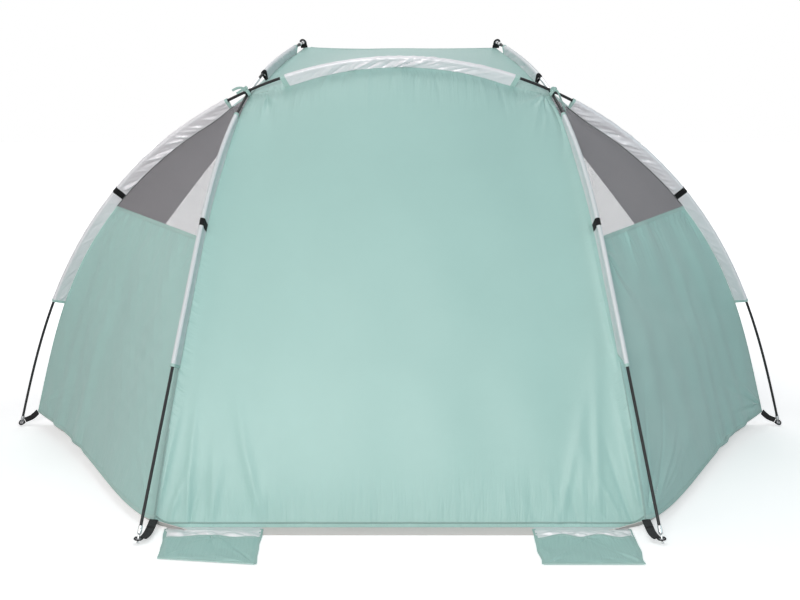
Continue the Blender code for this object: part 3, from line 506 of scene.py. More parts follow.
def closed_shell(name, corners, faces, finishes, outer_count, maps):
    """A shell of cloth whose outer faces come first, then as many inner ones, then the rims.
    Each map gives every corner two values."""
    mesh = bpy.data.meshes.new(name)
    mesh.from_pydata(corners.tolist(), [], faces.tolist())
    for material in finishes:
        mesh.materials.append(material)
    kinds = np.zeros(len(faces), dtype=np.int32)
    kinds[outer_count: 2 * outer_count] = len(finishes) - 1
    mesh.polygons.foreach_set("material_index", kinds)
    for label, values in maps.items():
        layout = mesh.uv_layers.new(name=label)
        layout.data.foreach_set("uv", values[faces.reshape(-1)].reshape(-1))
    mesh.shade_smooth()
    mesh.set_sharp_from_angle(angle=math.radians(60))
    return put(name, mesh)


def cloth_shell(name, grid, thickness, finishes, away_from=INSIDE_TENT):
    """A sheet with an outer face, an inner face and a rim. Its UV map is in metres, and a
    second one holds how far each point lies from the nearest side and the nearest end."""
    rows, columns = grid.shape[:2]
    normals = facing(grid, normals_of(grid), away_from)
    flipped = np.sum(normals * normals_of(grid)) < 0
    outer = (grid + normals * thickness / 2).reshape(-1, 3)
    inner = (grid - normals * thickness / 2).reshape(-1, 3)
    number = np.arange(rows * columns).reshape(rows, columns)
    quads = np.stack([number[:-1, :-1], number[:-1, 1:], number[1:, 1:], number[1:, :-1]],
                     axis=-1).reshape(-1, 4)
    rim = np.concatenate([number[0, :], number[1:, -1], number[-1, -2::-1], number[-2:0:-1, 0]])
    after = np.roll(rim, -1)
    far = rows * columns
    walls = np.stack([rim, rim + far, after + far, after], axis=-1)
    if flipped:
        faces = np.concatenate([quads[:, ::-1], quads + far, walls[:, ::-1]])
    else:
        faces = np.concatenate([quads, quads[:, ::-1] + far, walls])
    wide = np.concatenate([np.zeros((rows, 1)), np.cumsum(
        np.linalg.norm(np.diff(grid, axis=1), axis=2), axis=1)], axis=1)
    tall = np.concatenate([np.zeros((1, columns)), np.cumsum(
        np.linalg.norm(np.diff(grid, axis=0), axis=2), axis=0)], axis=0)
    flat = np.stack([wide - wide[:, -1:] / 2, tall], axis=-1).reshape(-1, 2)
    near = np.stack([np.minimum(wide, wide[:, -1:] - wide), np.minimum(tall, tall[-1:] - tall)],
                    axis=-1).reshape(-1, 2)
    maps = {"UVMap": np.concatenate([flat, flat]), "edges": np.concatenate([near, near])}
    return closed_shell(name, np.concatenate([outer, inner]), faces, finishes, len(quads), maps)


def rolling(us, vs, size, seed, wavelength, height):
    """Soft uneven ground in a panel: a seeded mix of waves of about one length, in metres."""
    chance = np.random.default_rng(seed)
    across, upward = np.meshgrid(us * size[0], vs * size[1])
    total = np.zeros_like(across)
    for _ in range(7):
        turn = chance.uniform(0, 2 * math.pi)
        rate = 2 * math.pi / (wavelength * chance.uniform(0.6, 1.7))
        total += np.sin(rate * (math.cos(turn) * across + math.sin(turn) * upward)
                        + chance.uniform(0, 2 * math.pi))
    return total * height / 3.0


def woven_group():
    """Shared effect: plain weave over small crumples, with uneven colour, and fine puckers
    that run in from the sewn edges."""
    group = bpy.data.node_groups.new("woven", "ShaderNodeTree")
    inputs = ("Pitch", "Roughness", "Unevenness", "Weave", "Crumple", "Pucker")
    start, stop = named_sockets(group, {"Color": "Color", **{name: "Float" for name in inputs}},
                                {"Color": "Color", "Roughness": "Float", "Normal": "Vector"})
    flat = wire(group, "ShaderNodeUVMap", uv_map="UVMap").outputs["UV"]
    place = object_place(group)
    parts = wire(group, "ShaderNodeSeparateXYZ", {0: flat})
    threads = []
    for axis in range(2):
        count = worked_out(group, "DIVIDE", parts.outputs[axis], start.outputs["Pitch"])
        turn = worked_out(group, "MULTIPLY", count, math.pi)
        threads.append(worked_out(group, "SINE", turn))
    weave = worked_out(group, "MULTIPLY", *threads)
    cloud = noise(group, place, Scale=5.0, Detail=5.0, Roughness=0.6)
    crumple = noise(group, place, Scale=70.0, Detail=6.0, Roughness=0.62, Distortion=0.6)
    swing = worked_out(group, "SUBTRACT", cloud, 0.5)
    tilt = worked_out(group, "MULTIPLY", swing, start.outputs["Unevenness"])
    knots = worked_out(group, "MULTIPLY", weave, 0.02)
    level = worked_out(group, "ADD", worked_out(group, "ADD", tilt, knots), 1.0)
    tone = wire(group, "ShaderNodeVectorMath", {0: start.outputs["Color"], "Scale": level},
                operation="SCALE")
    gloss = wire(group, "ShaderNodeMapRange", {"Value": crumple, "To Min": -0.07,
                                               "To Max": 0.07})
    rough = worked_out(group, "ADD", start.outputs["Roughness"], gloss.outputs[0])
    broad = wire(group, "ShaderNodeBump", {"Height": crumple, "Distance": 0.0012,
                                           "Strength": start.outputs["Crumple"]})
    edges = wire(group, "ShaderNodeUVMap", uv_map="edges")
    apart = wire(group, "ShaderNodeSeparateXYZ", {0: edges.outputs["UV"]})
    drawn = []
    for axis, stretch, reach in ((0, (7.0, 60.0, 1.0), 0.05), (1, (60.0, 5.0, 1.0), 0.26)):
        streaks = wire(group, "ShaderNodeVectorMath", {0: flat, 1: stretch},
                       operation="MULTIPLY")
        streaks = noise(group, streaks.outputs[0], Scale=1.0, Detail=3.0, Roughness=0.55,
                        Distortion=0.35)
        mask = wire(group, "ShaderNodeMapRange", {"Value": apart.outputs[axis], "From Max": reach,
                                                  "To Min": 1.0, "To Max": 0.0})
        mask = worked_out(group, "POWER", mask.outputs[0], 2.5)
        drawn.append(worked_out(group, "MULTIPLY", mask, streaks))
    drawn = worked_out(group, "ADD", *drawn)
    puckered = wire(group, "ShaderNodeBump", {"Height": drawn, "Distance": 0.006,
                                              "Strength": start.outputs["Pucker"],
                                              "Normal": broad.outputs[0]})
    fine = wire(group, "ShaderNodeBump", {"Height": weave, "Distance": 0.00008,
                                          "Strength": start.outputs["Weave"],
                                          "Normal": puckered.outputs[0]})
    group.links.new(tone.outputs[0], stop.inputs["Color"])
    group.links.new(rough, stop.inputs["Roughness"])
    group.links.new(fine.outputs[0], stop.inputs["Normal"])
    return group


WOVEN = woven_group()


def cloth_finish(name, colour, pitch, roughness, unevenness, weave, crumple, pucker=0.0,
                 **sockets):
    """A woven cloth: the shared weave, with this cloth's own thread and finish."""
    material, tree, shader = finish(name, **sockets)
    woven = wire(tree, "ShaderNodeGroup", {
        "Color": (*colour, 1.0), "Pitch": pitch, "Roughness": roughness,
        "Unevenness": unevenness, "Weave": weave, "Crumple": crumple, "Pucker": pucker,
    }, node_tree=WOVEN)
    for output, socket in (("Color", "Base Color"), ("Roughness", "Roughness"),
                           ("Normal", "Normal")):
        tree.links.new(woven.outputs[output], shader.inputs[socket])
    return material


# The grey tarpaulin's base is tinted warm to cancel the green light that the mint wall throws
# onto it: painted light, not the cloth's own colour.
TARPAULIN_COUNTER_TINTED = cloth_finish("grey_tarpaulin_counter_tinted", (0.88, 0.770, 0.755), 0.0022, 0.50, 0.10, 0.9, 0.25)
TARPAULIN_UNDER = cloth_finish("tarpaulin_underside", (0.50, 0.50, 0.48), 0.0022, 0.55, 0.12,
                               0.9, 0.25)


def groundsheet_grid():
    across = crowded(ground_columns, *ground_edge)
    down = shares_of(ground_rows)
    margin_share = ground_margin / (ground_margin + front_corner[1] - rear_corner[1])
    hem = side_hem_line(clamped((down - margin_share) / (1.0 - margin_share)))
    behind = down < margin_share
    hem[behind, 0] += margin_inset * (1.0 - down[behind] / margin_share)
    hem[behind, 1] = rear_corner[1] - ground_margin * (1.0 - down[behind] / margin_share)
    hem[behind, 2] = cloth_rest + (rear_corner[2] - cloth_rest) * (
        clamped(down[behind] / margin_share * 2 - 1))
    waves = sum(rolling(across, down, ground_cut, *wave) for wave in ground_waves)
    rows = []
    for share, point, wave in zip(down, hem, waves):
        row = straight(point, mirrored(point), across)
        width = lift_rear + (lift_front - lift_rear) * share
        lift = corner_lift(across, abs(point[0]), width)
        row[:, 2] = ground_thickness / 2 + ground_gap + (point[2] - cloth_rest) * lift
        away = clamped((share - margin_share) / ground_ease)
        row[:, 2] += away * (1 - lift) * np.clip(wave, 0.0, None) * 0.8
        rows.append(row)
    return np.array(rows)


groundsheet = cloth_shell("groundsheet_cloth", groundsheet_grid(), ground_thickness,
                          [TARPAULIN_COUNTER_TINTED, TARPAULIN_UNDER], away_from=BELOW_GROUND)
dress(groundsheet, "tent", ["groundsheet"])

# Back wall: light mint polyester, silver coated inside, cut in one panel. Its sides are sewn in
# with the strut sleeves and its top with the crown sleeve, and its hem is sewn to the floor.
cloth_thickness, seam_depth, crown_depth, crown_blend = 0.0006, 0.036, 0.028, 0.300
seam_rise, rise_reach, strut_rise_reach = 0.018, 0.150, 0.300
strut_slim, strut_sunk, strut_sunk_way = 0.30, 0.011, np.array([0.0, 0.93, -0.36])
hoop_fade, strut_fade, awning_fade = (2.0, 4.0), (1.0, 3.0), (1.0, 1.0)
hem_ripple, hem_ripples, hem_ripple_share = 0.0015, 5, 0.12
hem_overhang, hem_overhang_height, pocket_room = 0.0014, 0.011, 0.045
hem_zone, hem_least, floor_inward, corner_zone = 0.012, 0.15, 0.85, 0.05
awning_drop, look_near, wall_flat, wall_area = 0.020, 0.006, (1.26, 1.28), 1.32
low_seam_steps, crown_steps = 220, 80
crease_root, crease_growth, crease_start, crease_ease = 0.55, 1.3, 0.05, 0.14
strut_under = placed(strut_line, [strut_cross])[0]
strut_tip = strut_line[-1]
strut_way = way_at(strut_line, strut_cross)
crossing_outward = unit(np.cross(hoop_way, strut_way))
crossing_outward = crossing_outward * np.sign(crossing_outward[2])
awning_corner = strut_tip - awning_drop * UP


def faded(start, stop, shares, powers):
    """A vector that turns from start to stop along a pole."""
    weight = (1.0 - shares[:, None] ** powers[0]) ** powers[1]
    return stop + (start - stop) * weight


def raised(past, reach=rise_reach):
    """How far a seam rises towards its pole near the crossing, by the distance from it."""
    return seam_rise * eased(1.0 - np.abs(past) / reach)[:, None] * crossing_outward


def hoop_station(places):
    """Points of the hoop's left half, and the seam below each."""
    points = placed(hoop_left, places)
    shares = clamped(places / hoop_cross)
    to_corner, to_meeting = front_corner - front_foot, -seam_depth * crossing_outward
    lower = points + faded(to_corner, to_meeting, shares, hoop_fade)
    way = unit(placed(hoop_left, np.minimum(places + look_near, half_hoop - 1e-6))
               - placed(hoop_left, places - look_near))
    inward = np.cross(hoop_normal, way)
    inward = inward * -np.sign(inward[:, 2:])
    past = eased((places - hoop_cross) / crown_blend)[:, None]
    crown = points + (1.0 - past) * to_meeting + past * crown_depth * inward
    seams = np.where((places < hoop_cross)[:, None], lower, crown)
    return points, seams + raised(places - hoop_cross)


def strut_station(places):
    """The same for the left strut. Below the crossing its seam is drawn in and sinks a little."""
    points = placed(strut_line, places)
    to_meeting = crossing - seam_depth * crossing_outward - strut_under
    to_corner = rear_corner - rear_foot
    below = clamped(places / strut_cross)
    middle = arch(below)[:, None]
    lower = points + faded(to_corner, to_meeting, below, strut_fade) * (1 - strut_slim * middle)
    lower = lower + strut_sunk * middle * strut_sunk_way
    above = clamped((places - strut_cross) / (strut_reach - strut_cross))
    upper = points + faded(to_meeting, awning_corner - strut_tip, above, awning_fade)
    seams = np.where((places < strut_cross)[:, None], lower, upper)
    reach = np.where(places < strut_cross, strut_rise_reach, rise_reach)
    return points, seams + raised(places - strut_cross, reach)


strut_seam_low = strut_station(np.linspace(0.0, strut_cross, low_seam_steps))[1]
crown_left = hoop_station(np.linspace(hoop_cross, half_hoop, crown_steps))[1]
crown_seam = np.concatenate([crown_left, mirrored(crown_left)[-2::-1]])


def rear_hem_line(shares):
    line = straight(rear_corner, mirrored(rear_corner), shares)
    lift = corner_lift(shares, abs(rear_corner[0]), lift_rear)
    line[:, 2] = cloth_rest + (rear_corner[2] - cloth_rest) * lift
    return line


def at_shares(points, shares):
    return placed(points, np.asarray(shares) * lengths_along(points)[-1])


def coons(bottom, top, left, right, across, upward):
    """A smooth sheet through four edges. Bottom and top run one way, left and right up."""
    bottom, top = at_shares(bottom, across), at_shares(top, across)
    left, right = at_shares(left, upward), at_shares(right, upward)
    u, v = across[None, :, None], upward[:, None, None]
    ruled = (1 - v) * bottom[None] + v * top[None] + (1 - u) * left[:, None] + u * right[:, None]
    corners = (1 - v) * ((1 - u) * bottom[0] + u * bottom[-1])
    return ruled - corners - v * ((1 - u) * top[0] + u * top[-1])


def size_of(grid):
    wide = np.linalg.norm(np.diff(grid, axis=1), axis=2).sum(axis=1).mean()
    tall = np.linalg.norm(np.diff(grid, axis=0), axis=2).sum(axis=0).mean()
    return float(wide), float(tall)


def creased(across, upward, size, creases):
    """Height of a panel's creases, each given as (u, v, u, v, half width, height, bow). A
    crease is sharpest where it starts, and widens and dies away towards its other end."""
    wide, tall = np.meshgrid(across * size[0], upward * size[1])
    total = np.zeros_like(wide)
    for u0, v0, u1, v1, half, height, bow in creases:
        start = np.array([u0 * size[0], v0 * size[1]])
        run = np.array([u1 * size[0], v1 * size[1]]) - start
        length = np.hypot(*run)
        along = ((wide - start[0]) * run[0] + (tall - start[1]) * run[1]) / length ** 2
        beside = ((tall - start[1]) * run[0] - (wide - start[0]) * run[1]) / length
        beside = beside - bow * 4 * along * (1 - along)
        width = half * (crease_root + crease_growth * clamped(along))
        fade = clamped((along + crease_start) / crease_ease)
        fade = fade * clamped(1 - along) ** 1.1
        total += height * fade / (1 + (beside / width) ** 2) ** 1.5
    return total


def fan_of(seed, size, spot, angle, spread, count, reach, half, height):
    """Creases that spread from a spot in a panel, at angles in degrees from its lower edge."""
    chance = np.random.default_rng(seed)
    creases = []
    for number in range(count):
        share = (number + chance.uniform(0.2, 0.8)) / count
        turn = math.radians(angle + (share - 0.5) * spread)
        length = chance.uniform(*reach)
        shift = chance.normal(0.0, 0.006)
        u0, v0 = spot[0] + shift / size[0], max(0.0, spot[1] + chance.uniform(0, 0.01))
        creases.append((u0, v0, u0 + length * math.cos(turn) / size[0],
                        v0 + length * math.sin(turn) / size[1],
                        chance.uniform(*half), chance.uniform(*height) * chance.choice([-1, 1]),
                        chance.normal(0.0, 0.05) * length))
    return creases


def fans(size, rows):
    """Several fans. Each row holds a seed, the spot as shares of the panel, the angle and the
    spread, how many creases, and the limits of their lengths, half widths and heights."""
    return [crease for seed, *row in rows for crease in fan_of(seed, size, *row)]


def held_at(across, upward, size, margins):
    """1 inside a panel, falling to 0 at the edges that are sewn flat: left, right, low, high."""
    wide, tall = np.meshgrid(across * size[0], upward * size[1])
    mask = np.ones_like(wide)
    for distance, margin in zip((wide, size[0] - wide, tall, size[1] - tall), margins):
        if margin:
            mask = mask * eased(distance / margin)
    return mask


def pushed(grid, heights):
    """A panel's surface, moved outwards by a height at each of its points."""
    return grid + facing(grid, normals_of(grid), INSIDE_TENT) * heights[:, :, None]


MINT_OUTSIDE = cloth_finish("mint_polyester", (0.380, 0.590, 0.550), 0.0005, 0.44, 0.08, 0.35,
                            0.20, 0.8, Sheen_Weight=0.10, Specular_IOR_Level=0.45)
SILVER_INSIDE = cloth_finish("silver_coating", (0.84, 0.83, 0.85), 0.0005, 0.42, 0.10, 0.30,
                             0.40, Metallic=0.12, Specular_IOR_Level=0.5)


def mint_panel(name, grid, node):
    """A panel of the mint cloth with its silver side inwards, in place of its CAD node."""
    panel = cloth_shell(name, grid, cloth_thickness, [MINT_OUTSIDE, SILVER_INSIDE])
    return dress(panel, "tent", [node])


# Rows of points crowd at the hem and below the crown. Each pucker of the hem is given by its two
# ends, as shares of the wall's width and height, and by its half width, its height and its bow.
wall_columns, wall_edge, wall_waves = 150, (0.10, 0.0025), (3, 0.30, 0.0010)
wall_across = crowded(wall_columns, *wall_edge)
wall_upward = np.concatenate([np.arange(0.0, 0.022, 0.0022), np.arange(0.024, 0.25, 0.0036),
                              np.linspace(0.25, 0.94, 76), np.linspace(0.944, 1.0, 16)])
wall_grid = coons(rear_hem_line(shares_of(fine_steps)), crown_seam, strut_seam_low,
                  mirrored(strut_seam_low), wall_across, wall_upward)
wall_size, crease_limit = size_of(wall_grid), 0.0090
pucker_spread, pucker_at_sides, pucker_less_inside = 1.1, 3.4, 2.0
top_fold_count, top_fold_start, wall_margins = 15, 0.998, (0.014, 0.014, 0.0, 0.008)
hem_puckers = [
    (0.227, 0.0, 0.119, 0.330, 0.011, 0.0048, 0.004),
    (0.122, 0.0, 0.104, 0.190, 0.009, 0.0042, 0.002),
    (0.070, 0.0, 0.052, 0.320, 0.009, 0.0036, 0.003),
    (0.262, 0.0, 0.232, 0.110, 0.008, 0.0034, 0.002),
    (0.870, 0.0, 0.900, 0.280, 0.010, 0.0036, 0.003),
    (0.900, 0.0, 0.960, 0.450, 0.012, 0.0038, 0.004),
    (0.820, 0.0, 0.935, 0.330, 0.010, 0.0034, 0.004),
    (0.030, 0.0, 0.075, 0.170, 0.010, 0.0030, 0.004),
    (0.075, 0.0, 0.092, 0.120, 0.007, -0.0022, 0.003),
    (0.115, 0.0, 0.122, 0.200, 0.010, 0.0026, -0.004),
    (0.165, 0.005, 0.150, 0.110, 0.007, 0.0020, 0.002),
    (0.006, 0.050, 0.032, 0.310, 0.009, 0.0022, 0.005),
    (0.220, 0.0, 0.226, 0.125, 0.008, 0.0020, 0.002),
    (0.312, 0.0, 0.300, 0.085, 0.008, -0.0018, 0.002),
    (0.365, 0.0, 0.372, 0.060, 0.007, 0.0016, 0.001),
    (0.432, 0.0, 0.440, 0.075, 0.008, 0.0022, 0.002),
    (0.520, 0.0, 0.522, 0.065, 0.008, -0.0018, -0.002),
    (0.575, 0.0, 0.565, 0.055, 0.007, 0.0016, 0.001),
    (0.640, 0.0, 0.652, 0.085, 0.008, 0.0020, 0.002),
    (0.720, 0.0, 0.714, 0.105, 0.008, 0.0022, 0.002),
    (0.775, 0.0, 0.764, 0.125, 0.007, -0.0020, 0.002),
    (0.822, 0.0, 0.800, 0.130, 0.007, 0.0024, 0.002),
    (0.862, 0.0, 0.832, 0.145, 0.007, -0.0022, -0.003),
    (0.902, 0.0, 0.888, 0.205, 0.008, 0.0026, 0.003),
    (0.922, 0.010, 0.850, 0.105, 0.006, 0.0018, 0.003),
    (0.952, 0.0, 0.880, 0.165, 0.007, 0.0024, -0.004),
    (0.972, 0.0, 0.930, 0.225, 0.007, -0.0022, 0.004),
    (0.990, 0.020, 0.974, 0.350, 0.009, 0.0026, 0.004),
    (0.997, 0.330, 0.984, 0.800, 0.012, 0.0024, 0.004),
]
top_creases = fans(wall_size, (
    (11, (0.06, 0.985), -62, 46, 6, (0.06, 0.24), (0.005, 0.009), (0.0022, 0.0046)),
    (12, (0.97, 0.985), -118, 50, 9, (0.06, 0.30), (0.005, 0.009), (0.0024, 0.0052)),
))
chance = np.random.default_rng(21)
for spot in np.linspace(0.16, 0.86, top_fold_count):
    start = spot + chance.normal(0.0, 0.012)
    stop = start + chance.normal(0.0, 0.012)
    top_creases.append((start, top_fold_start, stop, top_fold_start - chance.uniform(0.05, 0.16),
                        chance.uniform(0.005, 0.009),
                        chance.uniform(0.0020, 0.0044) * chance.choice([-1, 1]), 0.001))
hem_puckers = [
    (*ends, pucker_spread * half,
     (pucker_at_sides - pucker_less_inside * math.sin(math.pi * ends[0])) * height, bow)
    for *ends, half, height, bow in hem_puckers]
wall_height = creased(wall_across, wall_upward, wall_size, hem_puckers)
wall_height += creased(wall_across, wall_upward, wall_size, top_creases)
wall_height = crease_limit * np.tanh(wall_height / crease_limit)
wall_height += rolling(wall_across, wall_upward, wall_size, *wall_waves)
wall_height *= held_at(wall_across, wall_upward, wall_size, wall_margins)
rise = wall_upward[:, None] / hem_ripple_share
ripple = rise * np.exp(1.0 - rise) * arch(wall_across)[None]
wall_height += hem_ripple * ripple * np.cos(2 * math.pi * hem_ripples * wall_across)[None]
above_hem = wall_upward * wall_size[1]
wall_height *= hem_least + (1 - hem_least) * clamped(above_hem / hem_zone)[:, None]
near_floor = np.exp(-(above_hem / pocket_room) ** 2)[:, None]
wall_height -= floor_inward * near_floor * np.maximum(wall_height, 0.0)
wall_grid = pushed(wall_grid, wall_height)
overhang = above_hem / hem_overhang_height
overhang = hem_overhang * overhang * np.exp(1.0 - overhang)
sides = held_at(wall_across, np.array([0.5]), wall_size, (corner_zone, corner_zone, 0.0, 0.0))
wall_grid[:, :, 1] -= overhang[:, None] * sides
back_wall = mint_panel("back_wall", wall_grid, "rear_wall")

# Side walls: the same mint cloth, one panel on each side between the strut and the hoop, from
# the floor's edge up to the window. Each is sewn in on all four sides.
side_flat, side_area, side_hollow, side_margin = (1.24, 0.80), 0.67, 0.014, 0.012
side_rows, side_columns, side_edge = 170, 170, (0.06, 0.0025)
side_waves, side_ripples, hem_waves, hem_wave_height = (0.26, 0.0034), (0.09, 0.0008), 7, 0.05
strut_window_share, hoop_window_share, edge_steps, seam_edge_steps = 0.463, 0.49, 300, 200
strut_window, hoop_window = strut_window_share * strut_reach, hoop_window_share * half_hoop
shares = shares_of(edge_steps)
window_seam = straight(strut_station(np.array([strut_window]))[1][0],
                       hoop_station(np.array([hoop_window]))[1][0], shares)
side_across, side_upward = crowded(side_columns, *side_edge), shares_of(side_rows)
side_left = strut_station(np.linspace(0.0, strut_window, seam_edge_steps))[1]
side_right = hoop_station(np.linspace(0.0, hoop_window, seam_edge_steps))[1]
side_grid = coons(side_hem_line(shares), window_seam, side_left, side_right, side_across,
                  side_upward)
side_size = size_of(side_grid)
side_held = held_at(side_across, side_upward, side_size, (side_margin,) * 4)
left_creases = fans(side_size, (
    (31, (0.02, 0.03), 38, 50, 6, (0.10, 0.34), (0.006, 0.010), (0.0010, 0.0022)),
    (32, (0.98, 0.04), 150, 40, 7, (0.10, 0.40), (0.006, 0.011), (0.0012, 0.0026)),
    (33, (0.03, 0.97), -30, 44, 6, (0.08, 0.30), (0.005, 0.009), (0.0010, 0.0020)),
    (34, (0.97, 0.97), -140, 50, 6, (0.08, 0.30), (0.005, 0.009), (0.0010, 0.0020)),
))
right_creases = fans(side_size, (
    (41, (0.02, 0.03), 42, 60, 9, (0.12, 0.42), (0.005, 0.010), (0.0012, 0.0028)),
    (42, (0.98, 0.04), 152, 44, 10, (0.10, 0.34), (0.005, 0.010), (0.0014, 0.0032)),
    (45, (0.03, 0.95), -38, 40, 6, (0.10, 0.34), (0.007, 0.012), (0.0016, 0.0034)),
    (43, (0.30, 0.985), -75, 60, 9, (0.05, 0.15), (0.005, 0.008), (0.0008, 0.0018)),
    (44, (0.97, 0.97), -132, 60, 8, (0.06, 0.20), (0.005, 0.009), (0.0010, 0.0024)),
))


def side_wall(creases, depth, seed, hem_wave):
    """One side wall, made for the left and creased in its own way."""
    heights = depth * creased(side_across, side_upward, side_size, creases)
    heights += rolling(side_across, side_upward, side_size, seed, *side_waves)
    heights += rolling(side_across, side_upward, side_size, seed + 1, *side_ripples)
    heights *= side_held
    heights -= side_hollow * np.outer(arch(side_upward), arch(side_across))
    wave = np.sin(2 * math.pi * hem_waves * side_across + 1.2 * np.sin(9 * side_across))
    wave = wave * clamped((side_across - 0.35) / 0.3) * arch(side_across)
    above = side_upward * side_size[1]
    low = np.exp(-above / hem_wave_height) * clamped(above / side_margin)
    heights += hem_wave * wave[None] * low[:, None]
    return pushed(side_grid, heights)


def on_side(points, flip):
    """Points of the left side, or their mirror image on the right."""
    return mirrored(points) if flip else points


side_grids = {}
for side, flip, creases, depth, seed, hem_wave in (
    ("left", False, left_creases, 1.1, 51, 0.003), ("right", True, right_creases, 2.1, 61, 0.008),
):
    grid = on_side(side_wall(creases, depth, seed, hem_wave), flip)
    side_grids[side] = grid
    wall = mint_panel(side + "_side_cloth", grid, side + "_side_wall")

# Side windows: black knitted netting, a tapering panel above each side wall that lets the wind
# through. It is one layer of fine thread, sewn to the wall's top and to both sleeves.
netting_pitch, netting_slant, netting_thread, net_margin = 0.0016, 1.414, 0.37, 0.02
window_apex, net_flat, net_area, net_waves = 0.90, (0.48, 0.46), 0.13, (0.16, 0.0025)
net_edge_steps, net_columns, net_rows = 160, 60, 70


def netting_finish():
    """Knitted threads at the netting's own pitch, with clear holes between them."""
    material, tree, shader = finish("black_netting", Roughness=0.75, Specular_IOR_Level=0.3)
    material.surface_render_method = "DITHERED"
    flat = wire(tree, "ShaderNodeUVMap", uv_map="UVMap")
    parts = wire(tree, "ShaderNodeSeparateXYZ", {0: flat.outputs["UV"]})
    threads = []
    for operation in ("ADD", "SUBTRACT"):
        slope = worked_out(tree, operation, parts.outputs[0], parts.outputs[1])
        count = worked_out(tree, "DIVIDE", slope, netting_pitch * netting_slant)
        wave = worked_out(tree, "FRACT", count)
        threads.append(worked_out(tree, "LESS_THAN", wave, netting_thread))
    tree.links.new(worked_out(tree, "MAXIMUM", *threads), shader.inputs["Alpha"])
    fuzz = noise(tree, object_place(tree), Scale=1400.0, Detail=2.0)
    two_tones(tree, shader, fuzz, (0.120, 0.117, 0.125), (0.280, 0.274, 0.290))
    return material


def sheet_single(name, grid, material):
    """One open layer of cloth, for netting that is seen through."""
    both = cloth_shell(name, grid, 0.0, [material])
    work = bmesh.new()
    work.from_mesh(both.data)
    work.faces.ensure_lookup_table()
    count = (grid.shape[0] - 1) * (grid.shape[1] - 1)
    bmesh.ops.delete(work, geom=list(work.faces)[count:], context="FACES")
    work.to_mesh(both.data)
    work.free()
    return both


NETTING = netting_finish()
window_left = strut_station(np.linspace(
    strut_window, strut_window + window_apex * (strut_cross - strut_window), net_edge_steps))[1]
window_right = hoop_station(np.linspace(
    hoop_window, hoop_window + window_apex * (hoop_cross - hoop_window), net_edge_steps))[1]
net_across, net_upward = shares_of(net_columns), shares_of(net_rows)
net_grid = coons(window_seam, straight(window_left[-1], window_right[-1], shares), window_left,
                 window_right, net_across, net_upward)
net_size, net_grids = size_of(net_grid), {}
for side, flip, seed in (("left", False, 71), ("right", True, 75)):
    heights = rolling(net_across, net_upward, net_size, seed, *net_waves)
    heights *= held_at(net_across, net_upward, net_size, (net_margin,) * 4)
    grid = on_side(pushed(net_grid, heights), flip)
    net_grids[side] = grid
    window = sheet_single(side + "_window_netting", grid, NETTING)
    dress(window, "tent", [side + "_side_window"])

# Wings: pointed panels of the mint cloth in front of the hoop. Each runs from the foot up to
# the awning's corner, and its free edge, turned and stitched, borders the open front.
hoop_edge_start, free_edge_start, edge_bow, wing_waves = 0.012, 0.008, 0.045, (0.24, 0.0030)
wing_flat, wing_area, wing_margins = (0.65, 1.52), 0.35, (0.012, 0.02, 0.02, 0.012)
wing_columns, wing_rows, high_seam_steps = 44, 190, 90


def free_edge_line(shares):
    """The edge beside the open front: it bows in towards the hoop."""
    line = straight(front_corner, awning_corner, shares)
    middle = hoop_station(np.array([hoop_cross * 0.5]))[1][0]
    chord = unit(awning_corner - front_corner)
    towards = middle - front_corner
    towards = unit(towards - (towards @ chord) * chord)
    return line + edge_bow * np.outer(arch(shares), towards)


strut_seam_high = strut_station(np.linspace(strut_cross, strut_reach, high_seam_steps))[1]
hoop_edge = hoop_station(np.linspace(hoop_edge_start, hoop_cross, edge_steps))[1]
free_edge = free_edge_line(np.linspace(free_edge_start, 1.0, edge_steps))
wing_across, wing_upward = shares_of(wing_columns), shares_of(wing_rows)
wing_grid = coons(straight(hoop_edge[0], free_edge[0], shares), strut_seam_high, hoop_edge,
                  free_edge, wing_across, wing_upward)
wing_size, wing_grids = size_of(wing_grid), {}
for side, flip, seed in (("left", False, 81), ("right", True, 85)):
    creases = fans(wing_size, (
        (seed, (0.5, 0.01), 90, 26, 5, (0.10, 0.34), (0.006, 0.010), (0.0010, 0.0024)),
        (seed + 1, (0.5, 0.99), -90, 60, 6, (0.08, 0.30), (0.006, 0.010), (0.0010, 0.0024)),
    ))
    heights = creased(wing_across, wing_upward, wing_size, creases)
    heights += rolling(wing_across, wing_upward, wing_size, seed, *wing_waves)
    heights *= held_at(wing_across, wing_upward, wing_size, wing_margins)
    grid = on_side(pushed(wing_grid, heights), flip)
    wing_grids[side] = grid
    wing = mint_panel(side + "_wing_cloth", grid, side + "_wing")

# Awning: one panel of the mint cloth from the crown sleeve forward to the strut tips, over the
# open front. Its sides are sewn in with the awning sleeves, and its front edge is turned.
awning_sag, awning_flat, awning_area = 0.004, (0.82, 0.46), 0.32
awning_columns, awning_rows = 120, 62
awning_margins, awning_waves = (0.014, 0.014, 0.014, 0.008), (95, 0.30, 0.0022)
front_shares = shares_of(seam_edge_steps)
awning_front = straight(awning_corner, mirrored(awning_corner), front_shares)
awning_front[:, 2] -= awning_sag * arch(front_shares)
awning_across, awning_upward = shares_of(awning_columns), shares_of(awning_rows)
awning_grid = coons(crown_seam, awning_front, strut_seam_high, mirrored(strut_seam_high),
                    awning_across, awning_upward)
awning_size = size_of(awning_grid)
creases = fans(awning_size, (
    (91, (0.02, 0.03), 45, 70, 6, (0.08, 0.26), (0.005, 0.009), (0.0010, 0.0022)),
    (92, (0.98, 0.03), 135, 70, 6, (0.08, 0.26), (0.005, 0.009), (0.0010, 0.0022)),
    (93, (0.02, 0.98), -25, 40, 4, (0.08, 0.24), (0.005, 0.009), (0.0010, 0.0020)),
    (94, (0.98, 0.98), -155, 40, 4, (0.08, 0.24), (0.005, 0.009), (0.0010, 0.0020)),
))
heights = creased(awning_across, awning_upward, awning_size, creases)
heights += rolling(awning_across, awning_upward, awning_size, *awning_waves)
heights *= held_at(awning_across, awning_upward, awning_size, awning_margins)
